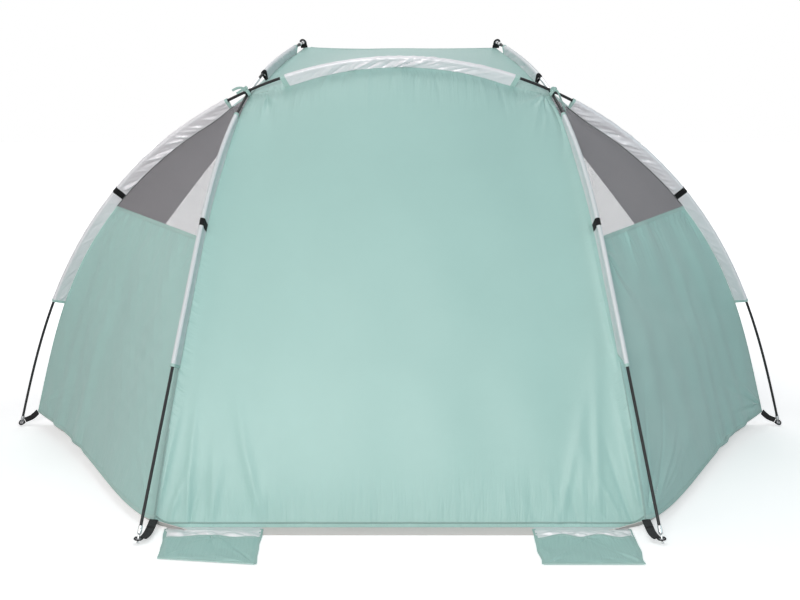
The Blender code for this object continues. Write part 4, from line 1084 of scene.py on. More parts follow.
awning_grid = pushed(awning_grid, heights)
awning = mint_panel("awning_cloth", awning_grid, "awning")

# Pole sleeves: strips of the coated cloth with the silver side out, folded over the poles and
# sewn into the panels' seams. Tape binds their cut ends, and each carries a row of stitches.
sleeve_radius, sleeve_edge, sleeve_thickness, sleeve_stand_off = 0.0064, 0.0012, 0.0005, 0.0011
tie_place_hoop, tie_place_strut, tie_width = 1.000, 0.840, 0.020
stitch_pitch, stitch_length, stitch_radius = 0.0042, 0.0032, 0.00028
stitch_inset, stitch_proud, skew_reach = 0.35, 0.00025, 0.08
round_spots, side_spots, ridge_spot, fin_spot = 14, 12, 7, 19
sleeve_step, tape_step, tape_proud, tape_cloth = 0.0026, 0.002, 0.0005, 0.0005
fold_end_reach, fold_middle_reach, fold_free_end, fold_end_ease = 0.07, 0.28, 0.008, 0.010


def whole_hoop(places):
    """Stations anywhere along the hoop. Its right half is the mirror of its left."""
    places = np.asarray(places)
    right = places > half_hoop
    points, seams = hoop_station(np.where(right, 2 * half_hoop - places, places))
    flip = np.where(right[:, None], np.array([-1.0, 1.0, 1.0]), 1.0)
    return points * flip, seams * flip


def rail_frames(points, seams):
    """Along the pole, towards the seam, and square to both, at each station."""
    way = unit(np.gradient(points, axis=0))
    towards = seams - points
    across = unit(towards - np.sum(towards * way, axis=1, keepdims=True) * way)
    return way, across, np.cross(way, across)


def sleeve_rings(points, seams, radius, half_edge, stand_off, round_steps=round_spots,
                 side_steps=side_spots, pinch=0.0):
    """Outlines round the pole, tangent to it and drawn to an edge at the seam. A pinch draws
    both faces together beside the pole, so that it stands out as a ridge."""
    way, across, side = rail_frames(points, seams)
    reach = seams - points
    edge = seams - stand_off * unit(reach)
    depth = np.linalg.norm(edge - points, axis=1)
    touch = math.pi - np.arccos(clamped(radius / depth))
    rings = []
    for turn in np.linspace(-1.0, 1.0, round_steps):
        angle = (turn * touch)[:, None]
        rings.append(points + radius * (side * np.sin(angle) - across * np.cos(angle)))
    for end, sign in ((rings[-1], 1.0), (rings[0], -1.0)):
        last = edge + sign * half_edge * side
        slack = pinch * (np.sum((end - points) * side, axis=1, keepdims=True) - sign * half_edge)
        run = [end + (last - end) * share - slack * side * (1 - share) * (1 - (1 - share) ** 2.5)
               for share in np.linspace(0, 1, side_steps + 1)[1:]]
        rings = rings + run if sign > 0 else rings + run[::-1]
    return np.stack(rings, axis=1)


def ring_normals(rings):
    """Outward directions on a tube, whether they had to be turned, and the way round it."""
    round_way = np.roll(rings, -1, axis=1) - np.roll(rings, 1, axis=1)
    normals = unit(np.cross(np.gradient(rings, axis=0), round_way))
    flipped = np.sum(normals * (rings - rings.mean(axis=1, keepdims=True))) < 0
    return (-normals if flipped else normals), flipped, round_way


def ring_shell(name, rings, thickness, finishes):
    """A tube of cloth through closed rings, with an outer face, an inner face and two rims."""
    count, spots = rings.shape[:2]
    normals, flipped, round_way = ring_normals(rings)
    number = np.arange(count * spots).reshape(count, spots)
    after = np.roll(number, -1, axis=1)
    quads = np.stack([number[:-1], number[1:], after[1:], after[:-1]], axis=-1).reshape(-1, 4)
    far = count * spots
    low = np.stack([number[0], after[0], after[0] + far, number[0] + far], axis=-1)
    high = np.stack([number[-1], number[-1] + far, after[-1] + far, after[-1]], axis=-1)
    faces = np.concatenate([quads, quads[:, ::-1] + far, low, high])
    if flipped:
        faces = faces[:, ::-1]
    corners = np.concatenate([rings.reshape(-1, 3), (rings - normals * thickness).reshape(-1, 3)])
    step = np.linalg.norm(round_way, axis=2).mean() / 2
    flat = np.stack(np.broadcast_arrays(
        np.arange(spots)[None] * step,
        lengths_along(rings.mean(axis=1))[:, None]), axis=-1).reshape(-1, 2)
    maps = {"UVMap": np.concatenate([flat, flat])}
    return closed_shell(name, corners, faces, finishes, len(quads), maps)


def folded(rings, seed, spacing, height, slant, near_ends):
    """Slack folds in a sleeve. Each runs from the pole to the seam at a slant, both layers of
    cloth bend in it together, and they gather at the sleeve's ends or in its middle."""
    chance = np.random.default_rng(seed)
    along = lengths_along(rings.mean(axis=1))
    whole = along[-1]
    down = np.linalg.norm(rings - rings[:, ridge_spot][:, None], axis=2)
    down = down / down.max(axis=1, keepdims=True)
    push = np.zeros(rings.shape[:2])
    place = -abs(slant) / 2
    while place < whole + abs(slant) / 2:
        end = math.exp(-max(0.0, min(place, whole - place)) / fold_end_reach)
        centre = math.exp(-((place / whole - 0.5) / fold_middle_reach) ** 2)
        strength = height * (near_ends * end + (1 - near_ends) * centre)
        lean = slant * chance.uniform(0.6, 1.3)
        half = chance.uniform(0.0030, 0.0055) + abs(lean) * chance.uniform(0.04, 0.10)
        middle = place + lean * (down - 0.5) + chance.normal(0.0, 0.006) * down ** 2
        strength *= chance.uniform(0.4, 1.0) * chance.choice([-1.0, 0.7, 1.0])
        push += strength / (1 + ((along[:, None] - middle) / half) ** 2) ** 2
        place += spacing * chance.uniform(0.4, 1.6)
    inside = np.minimum(along, whole - along) - fold_free_end
    push *= clamped(inside / fold_end_ease)[:, None]
    normals = ring_normals(rings)[0]
    hanging = clamped((down - 0.3) / 0.2)
    held = np.clip((1.0 - down) / 0.15, 0.08, 1.0)
    together = normals[:, fin_spot][:, None] * (push * hanging * held)[:, :, None]
    return rings + together + normals * (0.25 * np.abs(push) * (1 - hanging))[:, :, None]


def stitch_tree():
    """Node tree: a row of short thread stitches along a line of points."""
    tree = bpy.data.node_groups.new("stitches", "GeometryNodeTree")
    start, stop = named_sockets(tree, {"Geometry": "Geometry", "pitch": "Float",
                                       "length": "Float", "thread": "Float",
                                       "material": "Material"}, {"Geometry": "Geometry"})
    line = wire(tree, "GeometryNodeMeshToCurve", {"Mesh": start.outputs["Geometry"]})
    steps = wire(tree, "GeometryNodeResampleCurve", {
        "Curve": line.outputs[0], "Length": start.outputs["pitch"]}, mode="LENGTH")
    way = tree.nodes.new("GeometryNodeInputTangent")
    lie = wire(tree, "FunctionNodeAlignRotationToVector", {"Vector": way.outputs[0]}, axis="Z")
    thread = wire(tree, "GeometryNodeMeshCylinder", {
        "Vertices": 5, "Radius": start.outputs["thread"], "Depth": start.outputs["length"]})
    spread = wire(tree, "GeometryNodeInstanceOnPoints", {
        "Points": steps.outputs[0], "Instance": thread.outputs["Mesh"],
        "Rotation": lie.outputs[0]})
    real = wire(tree, "GeometryNodeRealizeInstances", {"Geometry": spread.outputs[0]})
    dressed = wire(tree, "GeometryNodeSetMaterial", {
        "Geometry": real.outputs[0], "Material": start.outputs["material"]})
    tree.links.new(dressed.outputs[0], stop.inputs[0])
    return tree


STITCHES = stitch_tree()

PALE_THREAD = twisted_finish("pale_thread", (0.465, 0.525, 0.510), (0.62, 0.70, 0.68), 600.0,
                             Roughness=0.6, Specular_IOR_Level=0.4)
SILVER_OUTSIDE = cloth_finish("silver_sleeve", (0.80, 0.79, 0.82), 0.0005, 0.32, 0.10, 0.30,
                              0.80, 0.30, Metallic=0.10, Specular_IOR_Level=0.5)
# A darker copy of the same silver sleeve cloth, for the strut and awning sleeves: painted shade
# for sleeves that turn away from the light.
SILVER_PAINTED_SHADE = cloth_finish("silver_sleeve_painted_shade", (0.66, 0.69, 0.71), 0.0005, 0.38, 0.10, 0.30,
                           0.60, 0.30, Metallic=0.10, Specular_IOR_Level=0.5)
MINT_LINING = cloth_finish("mint_lining", (0.40, 0.57, 0.53), 0.0005, 0.55, 0.10, 0.35, 0.3)
MINT_BINDING = cloth_finish("mint_binding", (0.40, 0.58, 0.54), 0.0009, 0.60, 0.08, 0.9, 0.10)


def stitched(name, lines, body):
    """Rows of stitches along the given lines, as one piece."""
    item = grown(name, line_mesh(name, lines), STITCHES, pitch=stitch_pitch,
                 length=stitch_length, thread=stitch_radius, material=PALE_THREAD)
    return dress(item, body)


def sleeve_line(station, places, start, skew, flip):
    """Stations of a sleeve whose cut end at its start may be slanted along the seam."""
    points = station(places)[0]
    seams = station(places - skew * np.exp(-(places - start) / skew_reach))[1]
    return on_side(points, flip), on_side(seams, flip)


def sleeve(name, station, reach, seed, folds, bound, flip=False, skew=0.0, pinch=0.0):
    """One sleeve along a reach of its pole, with its bound ends and its stitches."""
    start, stop = reach
    # The strut and awning sleeves take the darker copy of the silver cloth, which is painted
    # shade.
    outside = SILVER_OUTSIDE if station is whole_hoop else SILVER_PAINTED_SHADE
    points, seams = sleeve_line(station, between(start, stop, sleeve_step), start, skew, flip)
    rings = sleeve_rings(points, seams, sleeve_radius, sleeve_edge, sleeve_stand_off, pinch=pinch)
    rings = folded(rings, seed, *folds)
    cloth = ring_shell(name + "_cloth", rings, sleeve_thickness, [outside, MINT_LINING])
    dress(cloth, "tent", [name])
    sewn = round_spots + side_spots - 1
    rows = []
    for spot, inner in ((sewn, sewn - 2), (sewn + 1, sewn + 3)):
        into = rings[:, inner]
        proud = stitch_proud * unit(into - points - (seams - points) * 0.8)
        rows.append(rings[:, spot] + (into - rings[:, spot]) * stitch_inset + proud)
    stitched(name + "_stitches", rows, "tent")
    for label, low, high in bound:
        points, seams = sleeve_line(station, between(low, high, tape_step), start, skew, flip)
        rings = sleeve_rings(points, seams, sleeve_radius + tape_proud,
                             sleeve_edge + tape_proud / 2, sleeve_stand_off - tape_proud / 4,
                             pinch=pinch)
        tape = ring_shell(f"{name}_{label}_binding", rings, tape_cloth, [MINT_BINDING])
        dress(tape, "tent")


# Folds of each sleeve: how far apart, how high and how slanted they are, and the share of them
# that gathers at its ends. The cut foot ends are slanted too, by a length along the hoop and one
# along the strut.
folds = {
    "crown": (0.022, 0.0105, -0.070, 0.12), "lower_hoop": (0.045, 0.0065, 0.060, 0.7),
    "upper_hoop": (0.026, 0.0115, 0.080, 0.4), "lower_strut": (0.080, 0.0018, 0.020, 0.6),
    "upper_strut": (0.050, 0.0026, 0.030, 0.5), "awning": (0.030, 0.0050, 0.050, 0.5),
}
foot_skews = {"left": (0.034, 0.0), "right": (0.030, -0.038)}
crown_gap, crown_tape, end_tape, strut_pinch = 0.105, 0.014, 0.008, 0.85
tie_half = tie_width / 2 + rod_gap
crown_start, crown_stop = hoop_cross + crown_gap, 2 * half_hoop - (hoop_cross + crown_gap)
low_hoop = (0.535, tie_place_hoop - tie_half)
high_hoop = (tie_place_hoop + tie_half, hoop_cross - 0.060)
low_strut = (0.445, tie_place_strut - tie_half)
high_strut = (tie_place_strut + tie_half, strut_cross - 0.094)
awning_starts = {"left": strut_cross + 0.136, "right": strut_cross + 0.112}
awning_stop = strut_reach - 0.074
sleeve("crown_sleeve", whole_hoop, (crown_start, crown_stop), 101, folds["crown"],
       [("left", crown_start, crown_start + crown_tape),
        ("right", crown_stop - crown_tape, crown_stop)])
for side, flip in (("left", False), ("right", True)):
    first_seed = 130 if flip else 110
    hoop_skew, strut_skew = foot_skews[side]
    for number, (part, station, reach, end, skew, pinch) in enumerate((
        ("lower_hoop", whole_hoop, low_hoop, "foot", hoop_skew, 0.0),
        ("upper_hoop", whole_hoop, high_hoop, "top", 0.0, 0.0),
        ("lower_strut", strut_station, low_strut, "foot", strut_skew, strut_pinch),
        ("upper_strut", strut_station, high_strut, "top", 0.0, strut_pinch),
        ("awning", strut_station, (awning_starts[side], awning_stop), "top", 0.0, 0.0),
    )):
        low, high = reach
        bound = (low, low + end_tape) if end == "foot" else (high - end_tape, high)
        sleeve(f"{side}_{part}_sleeve", station, reach, first_seed + number, folds[part],
               [(end, *bound)], flip, skew, pinch)

# Seams and hems: every edge of the panels that no sleeve covers is turned, covered with tape of
# the same cloth and sewn with one row of stitches. The tape at the floor and the seam tape beside
# the struts are darker: painted shade, for the shadow under the wall's hem and beside the seams'
# turned edges.
hem_tape, seam_tape, net_tape, tape_lift = 0.012, 0.0030, 0.004, 0.0012
foot_tape, foot_lift, foot_inset = 0.0045, 0.0004, 0.009
wing_lift, wing_inset, seam_stitch_proud = 0.0006, 0.0015, 0.0003
BLACK_BINDING = cloth_finish("black_binding", (0.035, 0.034, 0.038), 0.0009, 0.7, 0.1, 0.9, 0.1)
# The seam tape is a darker copy of the mint binding: painted shade, for the shadow beside each
# seam's turned edge.
SEAM_TAPE_PAINTED_SHADE = cloth_finish("seam_tape_painted_shade", (0.30, 0.46, 0.43), 0.0009, 0.60, 0.08, 0.9, 0.10)
# The tape at the floor is darker still: painted shade, for the shadow under the back wall's hem.
FOOT_TAPE_PAINTED_SHADE = cloth_finish("foot_tape_painted_shade", (0.22, 0.36, 0.33), 0.0009, 0.62, 0.10, 0.9, 0.10)
tape_across = np.array([0.0, 0.12, 0.4, 0.65, 0.88, 1.0])
tape_heights = np.array([0.4, 1.0, 1.0, 1.0, 1.0, 0.4])


def edge_band(panel, grid, edge, width, start=0.0, stop=1.0, material=MINT_BINDING,
              lift=tape_lift, inset=0.0):
    """Tape over one edge of a panel, for a share of that edge, with its row of stitches. It
    ends where a pointed panel is hardly wider than the tape."""
    runs = {"left": grid, "right": grid[:, ::-1], "low": np.swapaxes(grid, 0, 1),
            "high": np.swapaxes(grid[::-1], 0, 1)}[edge]
    runs = runs[int(start * (len(runs) - 1)): int(stop * (len(runs) - 1)) + 1]
    runs = runs[[lengths_along(run)[-1] > 1.3 * (width + inset) for run in runs]]
    band = np.stack([placed(run, inset + width * tape_across) for run in runs])
    normals = facing(band, normals_of(band), INSIDE_TENT)
    band = band + normals * (lift * tape_heights)[:, None]
    name = f"{panel}_{edge}_tape_{int(100 * start)}"
    tape = cloth_shell(name, band, cloth_thickness, [material])
    dress(tape, "tent")
    stitched(name + "_stitches", [band[:, 3] + normals[:, 3] * seam_stitch_proud], "tent")


crown_bare = crown_gap / (2 * (half_hoop - hoop_cross))
low_bare, high_bare = low_strut[0] / strut_cross, high_strut[1] / strut_cross
# The back wall's foot tape carries the painted shade under its hem.
edge_band("back_wall", wall_grid, "low", foot_tape, material=FOOT_TAPE_PAINTED_SHADE, lift=foot_lift,
          inset=foot_inset)
# The seam tape along the back wall's sides carries painted shade.
for edge in ("left", "right"):
    edge_band("back_wall", wall_grid, edge, seam_tape, 0.0, low_bare, SEAM_TAPE_PAINTED_SHADE)
    edge_band("back_wall", wall_grid, edge, seam_tape, high_bare, 1.0, SEAM_TAPE_PAINTED_SHADE)
edge_band("back_wall", wall_grid, "high", seam_tape, 0.0, crown_bare)
edge_band("back_wall", wall_grid, "high", seam_tape, 1.0 - crown_bare, 1.0)
for side, grid in side_grids.items():
    edge_band(side + "_side", grid, "low", hem_tape)
    edge_band(side + "_side", grid, "high", hem_tape)
    # The seam tape along the side wall's strut edge carries painted shade.
    edge_band(side + "_side", grid, "left", seam_tape, 0.0, low_strut[0] / strut_window,
              SEAM_TAPE_PAINTED_SHADE)
    edge_band(side + "_side", grid, "right", seam_tape, 0.0, low_hoop[0] / hoop_window)
for side, grid in wing_grids.items():
    edge_band(side + "_wing", grid, "right", hem_tape, lift=wing_lift, inset=wing_inset)
edge_band("awning", awning_grid, "high", hem_tape)
for edge in ("left", "right"):
    share = (awning_starts[edge] - strut_cross) / (strut_reach - strut_cross)
    edge_band("awning", awning_grid, edge, seam_tape, 0.0, share)
for side, grid in net_grids.items():
    edge_band(side + "_window", grid, "right", net_tape, material=BLACK_BINDING)

# Ties: black ribbed hook-and-loop bands that hold the fabric to the poles between two sleeves.
# Each is sewn at the seam, wraps the pole and closes on itself, and its loose end can be lifted.
tie_thickness, tie_extra, rib_pitch, rib_height = 0.0010, 0.0008, 0.0022, 0.00035
tie_step, tie_pinch, tie_round_spots, tie_side_spots = 0.00055, 0.0006, 22, 9
tail_length, tail_width, tail_thickness, tail_gap = 0.023, 0.017, 0.0012, 0.0004
small_tie_width, small_tie_reach, small_tie_extra = 0.012, 0.016, 0.0004
tail_steps, tail_lift_power = 22, 2.4
ribbon_across = np.array([-1.0, -0.92, -0.6, -0.2, 0.2, 0.6, 0.92, 1.0])
ribbon_heights = np.array([0.0, 0.5, 0.5, 0.5, 0.5, 0.5, 0.5, 0.0])


def ribbed_finish():
    """Black webbing: ribs across the band in its geometry, and yarn between them."""
    material, tree, shader = finish("black_webbing", Roughness=0.72, Specular_IOR_Level=0.22,
                                    Sheen_Weight=0.06)
    flat = wire(tree, "ShaderNodeUVMap", uv_map="UVMap")
    yarn = wire(tree, "ShaderNodeMapping", {"Vector": flat.outputs["UV"],
                                            "Scale": (2600.0, 1300.0, 1.0)})
    weave = wire(tree, "ShaderNodeTexChecker", {"Vector": yarn.outputs[0], "Scale": 1.0})
    fluff = noise(tree, object_place(tree), Scale=1800.0, Detail=3.0)
    mixed = worked_out(tree, "MULTIPLY", weave.outputs["Fac"], fluff)
    two_tones(tree, shader, mixed, (0.003, 0.003, 0.0035), (0.016, 0.016, 0.018))
    bumped(tree, shader, mixed, 0.5, 0.0003)
    return material


BLACK_WEBBING = ribbed_finish()


def ribbon(name, line, wide_way, width, thickness, material, round_end=False):
    """A flat closed band along a line. Its width lies along wide_way at each station."""
    line = np.asarray(line)
    way = unit(np.gradient(line, axis=0))
    wide_way = np.broadcast_to(np.asarray(wide_way, dtype=float), line.shape)
    wide_way = unit(wide_way - np.sum(wide_way * way, axis=1, keepdims=True) * way)
    over = np.cross(way, wide_way)
    widths = np.full(len(line), width / 2)
    if round_end:
        left = lengths_along(line)[-1] - lengths_along(line)
        widths = width / 2 * np.sqrt(1.0 - np.clip(1.0 - left / (width * 0.45), 0.0, 0.97) ** 2)
    outline = [*zip(ribbon_across, ribbon_heights),
               *zip(ribbon_across[-2:0:-1], -ribbon_heights[-2:0:-1])]
    rings = np.stack([line + wide_way * (step * widths)[:, None] + over * rise * thickness
                      for step, rise in outline], axis=1)
    count, spots = rings.shape[:2]
    number = np.arange(count * spots).reshape(count, spots)
    after = np.roll(number, -1, axis=1)
    quads = np.stack([number[:-1], after[:-1], after[1:], number[1:]], axis=-1).reshape(-1, 4)
    mesh = bpy.data.meshes.new(name)
    faces = quads.tolist() + [number[0, ::-1].tolist(), number[-1].tolist()]
    mesh.from_pydata(rings.reshape(-1, 3).tolist(), [], faces)
    mesh.materials.append(material)
    along = np.repeat(lengths_along(line), spots)
    around = np.tile([step * width / 2 for step, _ in outline], count)
    layout = mesh.uv_layers.new(name="UVMap")
    corner = np.empty(len(mesh.loops), dtype=np.int32)
    mesh.loops.foreach_get("vertex_index", corner)
    layout.data.foreach_set("uv", np.stack([around, along], axis=1)[corner].reshape(-1))
    work = bmesh.new()
    work.from_mesh(mesh)
    bmesh.ops.recalc_face_normals(work, faces=work.faces)
    work.to_mesh(mesh)
    work.free()
    mesh.shade_smooth()
    mesh.set_sharp_from_angle(angle=math.radians(55))
    return put(name, mesh)


def tie_rings(station, middle, width, flip, extra=tie_extra):
    """Rings of a gathered band: ribbed along the pole, and a little pinched at its middle."""
    places = between(middle - width / 2, middle + width / 2, tie_step)
    points, seams = (on_side(line, flip) for line in station(places))
    rings = sleeve_rings(points, seams, sleeve_radius + extra, sleeve_edge + extra,
                         sleeve_stand_off, tie_round_spots, tie_side_spots)
    share = (places - middle) / (width / 2)
    swell = rib_height * np.cos(2 * math.pi * (places - middle) / rib_pitch)
    swell = swell - tie_pinch * (1.0 - share ** 2)
    centre = rings.mean(axis=1, keepdims=True)
    return rings + unit(rings - centre) * swell[:, None, None], points, seams


def tail_path(rings, points, seams, outer_side, curl, clear):
    """A tail's line from its hinge beside the pole down over the band, lifting at its end."""
    middle = len(points) // 2
    side = rail_frames(points, seams)[2][middle]
    last = tie_round_spots - 1
    near, far = (last, last + tie_side_spots) if outer_side > 0 else (0, -tie_side_spots)
    near, far = rings[middle, near], rings[middle, far]
    down = unit(far - near)
    outward = unit(outer_side * side - ((outer_side * side) @ down) * down)
    run = shares_of(tail_steps)
    lift = curl * run ** tail_lift_power + tail_gap
    proud = tie_thickness * 0.1 + tail_thickness / 2 + tie_step
    start = near + proud * outward + clear * down
    line = start + np.outer(run * tail_length, down) + np.outer(lift, outward)
    return line, np.cross(outward, down)


for side, flip in (("left", False), ("right", True)):
    for pole, station, middle, curl, clear in (
        ("hoop", whole_hoop, tie_place_hoop, 0.0050, 0.0004),
        ("strut", strut_station, tie_place_strut, 0.0060, 0.0034),
    ):
        name = f"{side}_{pole}_tie"
        rings, points, seams = tie_rings(station, middle, tie_width, flip)
        band = ring_shell(name + "_ribbed_band", rings, tie_thickness * 0.8, [BLACK_WEBBING])
        dress(band, "tent", [name + "_band"])
        tail_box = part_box(name + "_tail")
        tail_middle = (np.array(tail_box[0]) + np.array(tail_box[1])) / 2
        side_way = rail_frames(points, seams)[2][len(points) // 2]
        out = 1.0 if (tail_middle - points[len(points) // 2]) @ side_way > 0 else -1.0
        line, lengthwise = tail_path(rings, points, seams, out, curl, clear)
        tail = ribbon(name + "_loose_end", line, lengthwise, tail_width, tail_thickness,
                      BLACK_WEBBING, round_end=True)
        dress(tail, name + "_tail_body", [name + "_tail"])
    name = side + "_awning_tie"
    middle = awning_starts[side] - small_tie_reach / 2
    rings = tie_rings(strut_station, middle, small_tie_width, flip, small_tie_extra)[0]
    band = ring_shell(name + "_band", rings, tie_thickness * 0.8, [BLACK_WEBBING])
    dress(band, "tent")

# Crossing tapes: soft mint tape sewn to the seam under each crossing, passed round both poles
# and tied in front of them with a half bow, whose ends hang over the back wall.
tape_width, tape_thickness, bow_width = 0.010, 0.0010, 0.007
knot_width, knot_thickness, knot_proud, tape_slack = 0.0105, 0.0016, 0.0020, 0.0012
loop_above, loop_below, loop_corners = 0.0011, 0.0018, 2.0 / 3.2
loop_steps, tab_steps, end_steps, knot_steps = 41, 14, 26, 12
# Each loose end as points from the knot, given by how far they lie outwards, back and up.
loose_ends = {
    "left": {
        "end_long": [(0, 0, 0), (0.012, 0.006, 0.006), (0.022, 0.003, 0.004),
                     (0.036, 0.002, -0.004)],
        "end_short": [(0, 0, 0), (0.012, 0.008, -0.004), (0.016, 0.004, -0.010),
                      (0.024, 0.004, -0.012)],
        "bow": [(0, 0, 0), (0, 0.008, 0.010), (-0.010, 0.008, 0.004), (-0.008, 0.006, -0.010),
                (0, 0.001, -0.001)],
    },
    "right": {
        "end_long": [(0, 0, 0), (0.010, 0.010, -0.004), (0.016, 0.006, -0.030),
                     (0.030, 0.004, -0.062)],
        "end_short": [(0, 0, 0), (-0.008, 0.008, 0.008), (-0.012, 0.006, -0.006)],
    },
}
knot_turns = [(0.0045, 0.0, 0.0), (0.0, 0.006, 0.003), (-0.0045, 0.0, 0.0)]
TAPE = cloth_finish("mint_tape", (0.36, 0.53, 0.49), 0.0012, 0.68, 0.10, 1.0, 0.15)


def bezier(points, count):
    """A smooth run through a few control points, by repeated mixing."""
    run = shares_of(count)[:, None]
    level = [np.broadcast_to(np.array(p, dtype=float), (count, 3)) for p in points]
    while len(level) > 1:
        level = [(1 - run) * a + run * b for a, b in zip(level[:-1], level[1:])]
    return level[0]


def crossing_tape(side, flip):
    """The loop round both poles, its sewn end, the knot, and the bow's loop and two ends."""
    other_way = strut_way if strut_way @ hoop_way > 0 else -strut_way
    middle_way = unit(hoop_way + other_way)
    sideways = np.cross(crossing_outward, middle_way)
    tilt = math.acos(min(1.0, float(hoop_way @ middle_way)))
    half = rod_radius / math.cos(tilt) + tape_width / 2 * math.tan(tilt) + tape_slack
    top, low = rod_radius + loop_above, -3 * rod_radius - loop_below
    turn = np.linspace(0.0, 2 * math.pi, loop_steps)
    ring_side = half * np.sign(np.cos(turn)) * np.abs(np.cos(turn)) ** loop_corners
    ring_up = (top + low) / 2 + (top - low) / 2 * (
        np.sign(np.sin(turn)) * np.abs(np.sin(turn)) ** loop_corners)
    loop = crossing + np.outer(ring_side, sideways) + np.outer(ring_up, crossing_outward)
    sewn = seam_rise - seam_depth + tape_slack
    tab = crossing + np.outer(np.linspace(low, sewn, tab_steps), crossing_outward)
    front = crossing + (top + tape_thickness) * crossing_outward
    directions = np.stack([[-1.0, 0.0, 0.0], unit(np.array([0.0, -1.0, 0.35])), UP])
    back_way = directions[1]
    knot = front + knot_proud * back_way
    pieces = [("loop", loop, middle_way, tape_width, tape_thickness * 0.7),
              ("tab", tab, middle_way, tape_width, tape_thickness * 0.7)]
    for label, offsets in loose_ends[side].items():
        end = bezier([knot + offset @ directions for offset in offsets], end_steps)
        pieces.append((label, end, UP + 0.5 * back_way, bow_width, tape_thickness * 0.7))
    turns = bezier([front + offset @ directions for offset in knot_turns], knot_steps)
    pieces.append(("knot", turns, UP, knot_width, knot_thickness))
    for label, line, wide, width, thickness in pieces:
        item = ribbon(f"{side}_crossing_{label}", on_side(line, flip), on_side(wide, flip), width,
                      thickness, TAPE)
        dress(item, "tent", [side + "_crossing_tie"] if label == "loop" else ())


for side, flip in (("left", False), ("right", True)):
    crossing_tape(side, flip)

# Corner straps: black webbing sewn to each corner of the fabric, folded back at its end and
# fitted with a pressed eyelet, which slips over the neck of the pole tip.
strap_width, strap_thickness, strap_steps, spokes, fold_share = 0.022, 0.0015, 30, 28, 0.62
sag_start = 0.25
eyelet_height, eyelet_radius, eyelet_bore, eyelet_lip = 0.011, 0.0072, 0.0042, 0.0003
EYELET_METAL = metal_finish("blackened_eyelet", (0.16, 0.16, 0.17), 0.38)
eyelet_outline = [
    (eyelet_bore, -0.0006), (eyelet_bore + 0.0004, -0.0013), (eyelet_bore + 0.0012, -0.0017),
    (eyelet_radius - 0.0008, -0.0012), (eyelet_radius, -0.0008), (eyelet_radius, 0.0008),
    (eyelet_radius - 0.0008, 0.0012), (eyelet_bore + 0.0012, 0.0017),
    (eyelet_bore + 0.0004, 0.0013), (eyelet_bore, 0.0006), (eyelet_bore, -0.0006),
]


def strap_eye(name, seat, along, wide, normal):
    """The strap's end round its eyelet: rounded at the tip and square where the strap goes on."""
    work = bmesh.new()
    half = strap_width / 2
    turn = np.linspace(0.0, 2 * math.pi, spokes, endpoint=False)
    layers = []
    for rise in (strap_thickness / 2, -strap_thickness / 2):
        inner = [work.verts.new(seat + (eyelet_radius - eyelet_lip) * (
            math.cos(a) * along + math.sin(a) * wide) + rise * normal) for a in turn]
        outer = []
        for a in turn:
            stretch = half
            if math.cos(a) > 1e-6:
                stretch = min(half / max(abs(math.sin(a)), 1e-6), half / math.cos(a))
            outer.append(work.verts.new(seat + stretch * (
                math.cos(a) * along + math.sin(a) * wide) + rise * normal))
        layers.append((inner, outer))
    (top_in, top_out), (low_in, low_out) = layers
    for i in range(spokes):
        j = (i + 1) % spokes
        work.faces.new([top_in[i], top_out[i], top_out[j], top_in[j]])
        work.faces.new([low_in[i], low_in[j], low_out[j], low_out[i]])
        work.faces.new([top_out[i], low_out[i], low_out[j], top_out[j]])
        work.faces.new([top_in[i], top_in[j], low_in[j], low_in[i]])
    bmesh.ops.recalc_face_normals(work, faces=work.faces)
    mesh = bpy.data.meshes.new(name)
    flat_layer = work.loops.layers.uv.new("UVMap")
    for face in work.faces:
        for loop in face.loops:
            spot = np.array(loop.vert.co) - seat
            loop[flat_layer].uv = (float(spot @ wide), float(spot @ along))
    work.to_mesh(mesh)
    work.free()
    mesh.materials.append(BLACK_WEBBING)
    return put(name, mesh)


def strap(label, corner, sag, stand_off, swerve):
    """One strap, from its fabric corner to the eyelet round its tip, with a sewn end."""
    end, axis = tip_places[label]
    seat = end + eyelet_height * axis
    reach = corner - seat
    length = np.linalg.norm(reach) - stand_off
    along = unit(reach)
    normal = unit(axis - (axis @ along) * along)
    wide = np.cross(normal, along)
    run = shares_of(strap_steps)
    bend = swerve * arch(np.sqrt(run))[:, None] * wide
    line = seat + np.outer(run * length, along) + bend
    line = line + np.outer(-sag * arch(clamped((run - sag_start) / (1.0 - sag_start))), normal)
    ring = revolved(label + "_eyelet", eyelet_outline, seat, normal, spokes, EYELET_METAL)
    dress(ring, "tent")
    dress(strap_eye(label + "_strap_eye", seat, along, wide, normal), "tent")
    start = int(np.searchsorted(lengths_along(line), strap_width / 2))
    band = ribbon(label + "_webbing", line[start:], wide, strap_width, strap_thickness,
                  BLACK_WEBBING)
    dress(band, "tent", [label + "_strap"])
    fold = line[int(strap_steps * fold_share):] + 1.05 * strap_thickness * normal
    folded_end = ribbon(label + "_folded_end", fold, wide, strap_width * 0.96,
                        strap_thickness * 0.8, BLACK_WEBBING)
    dress(folded_end, "tent")


for side, flip in (("left", False), ("right", True)):
    for end, corner, sag, stand_off, swerve in (
        ("front", front_corner, 0.006, 0.0010, 0.0), ("rear", rear_corner, 0.0, 0.0033, -0.011),
        ("awning", awning_corner, 0.0015, 0.0011, 0.0),
    ):
        strap(f"{side}_{end}", on_side(corner, flip), sag, stand_off, -swerve if flip else swerve)

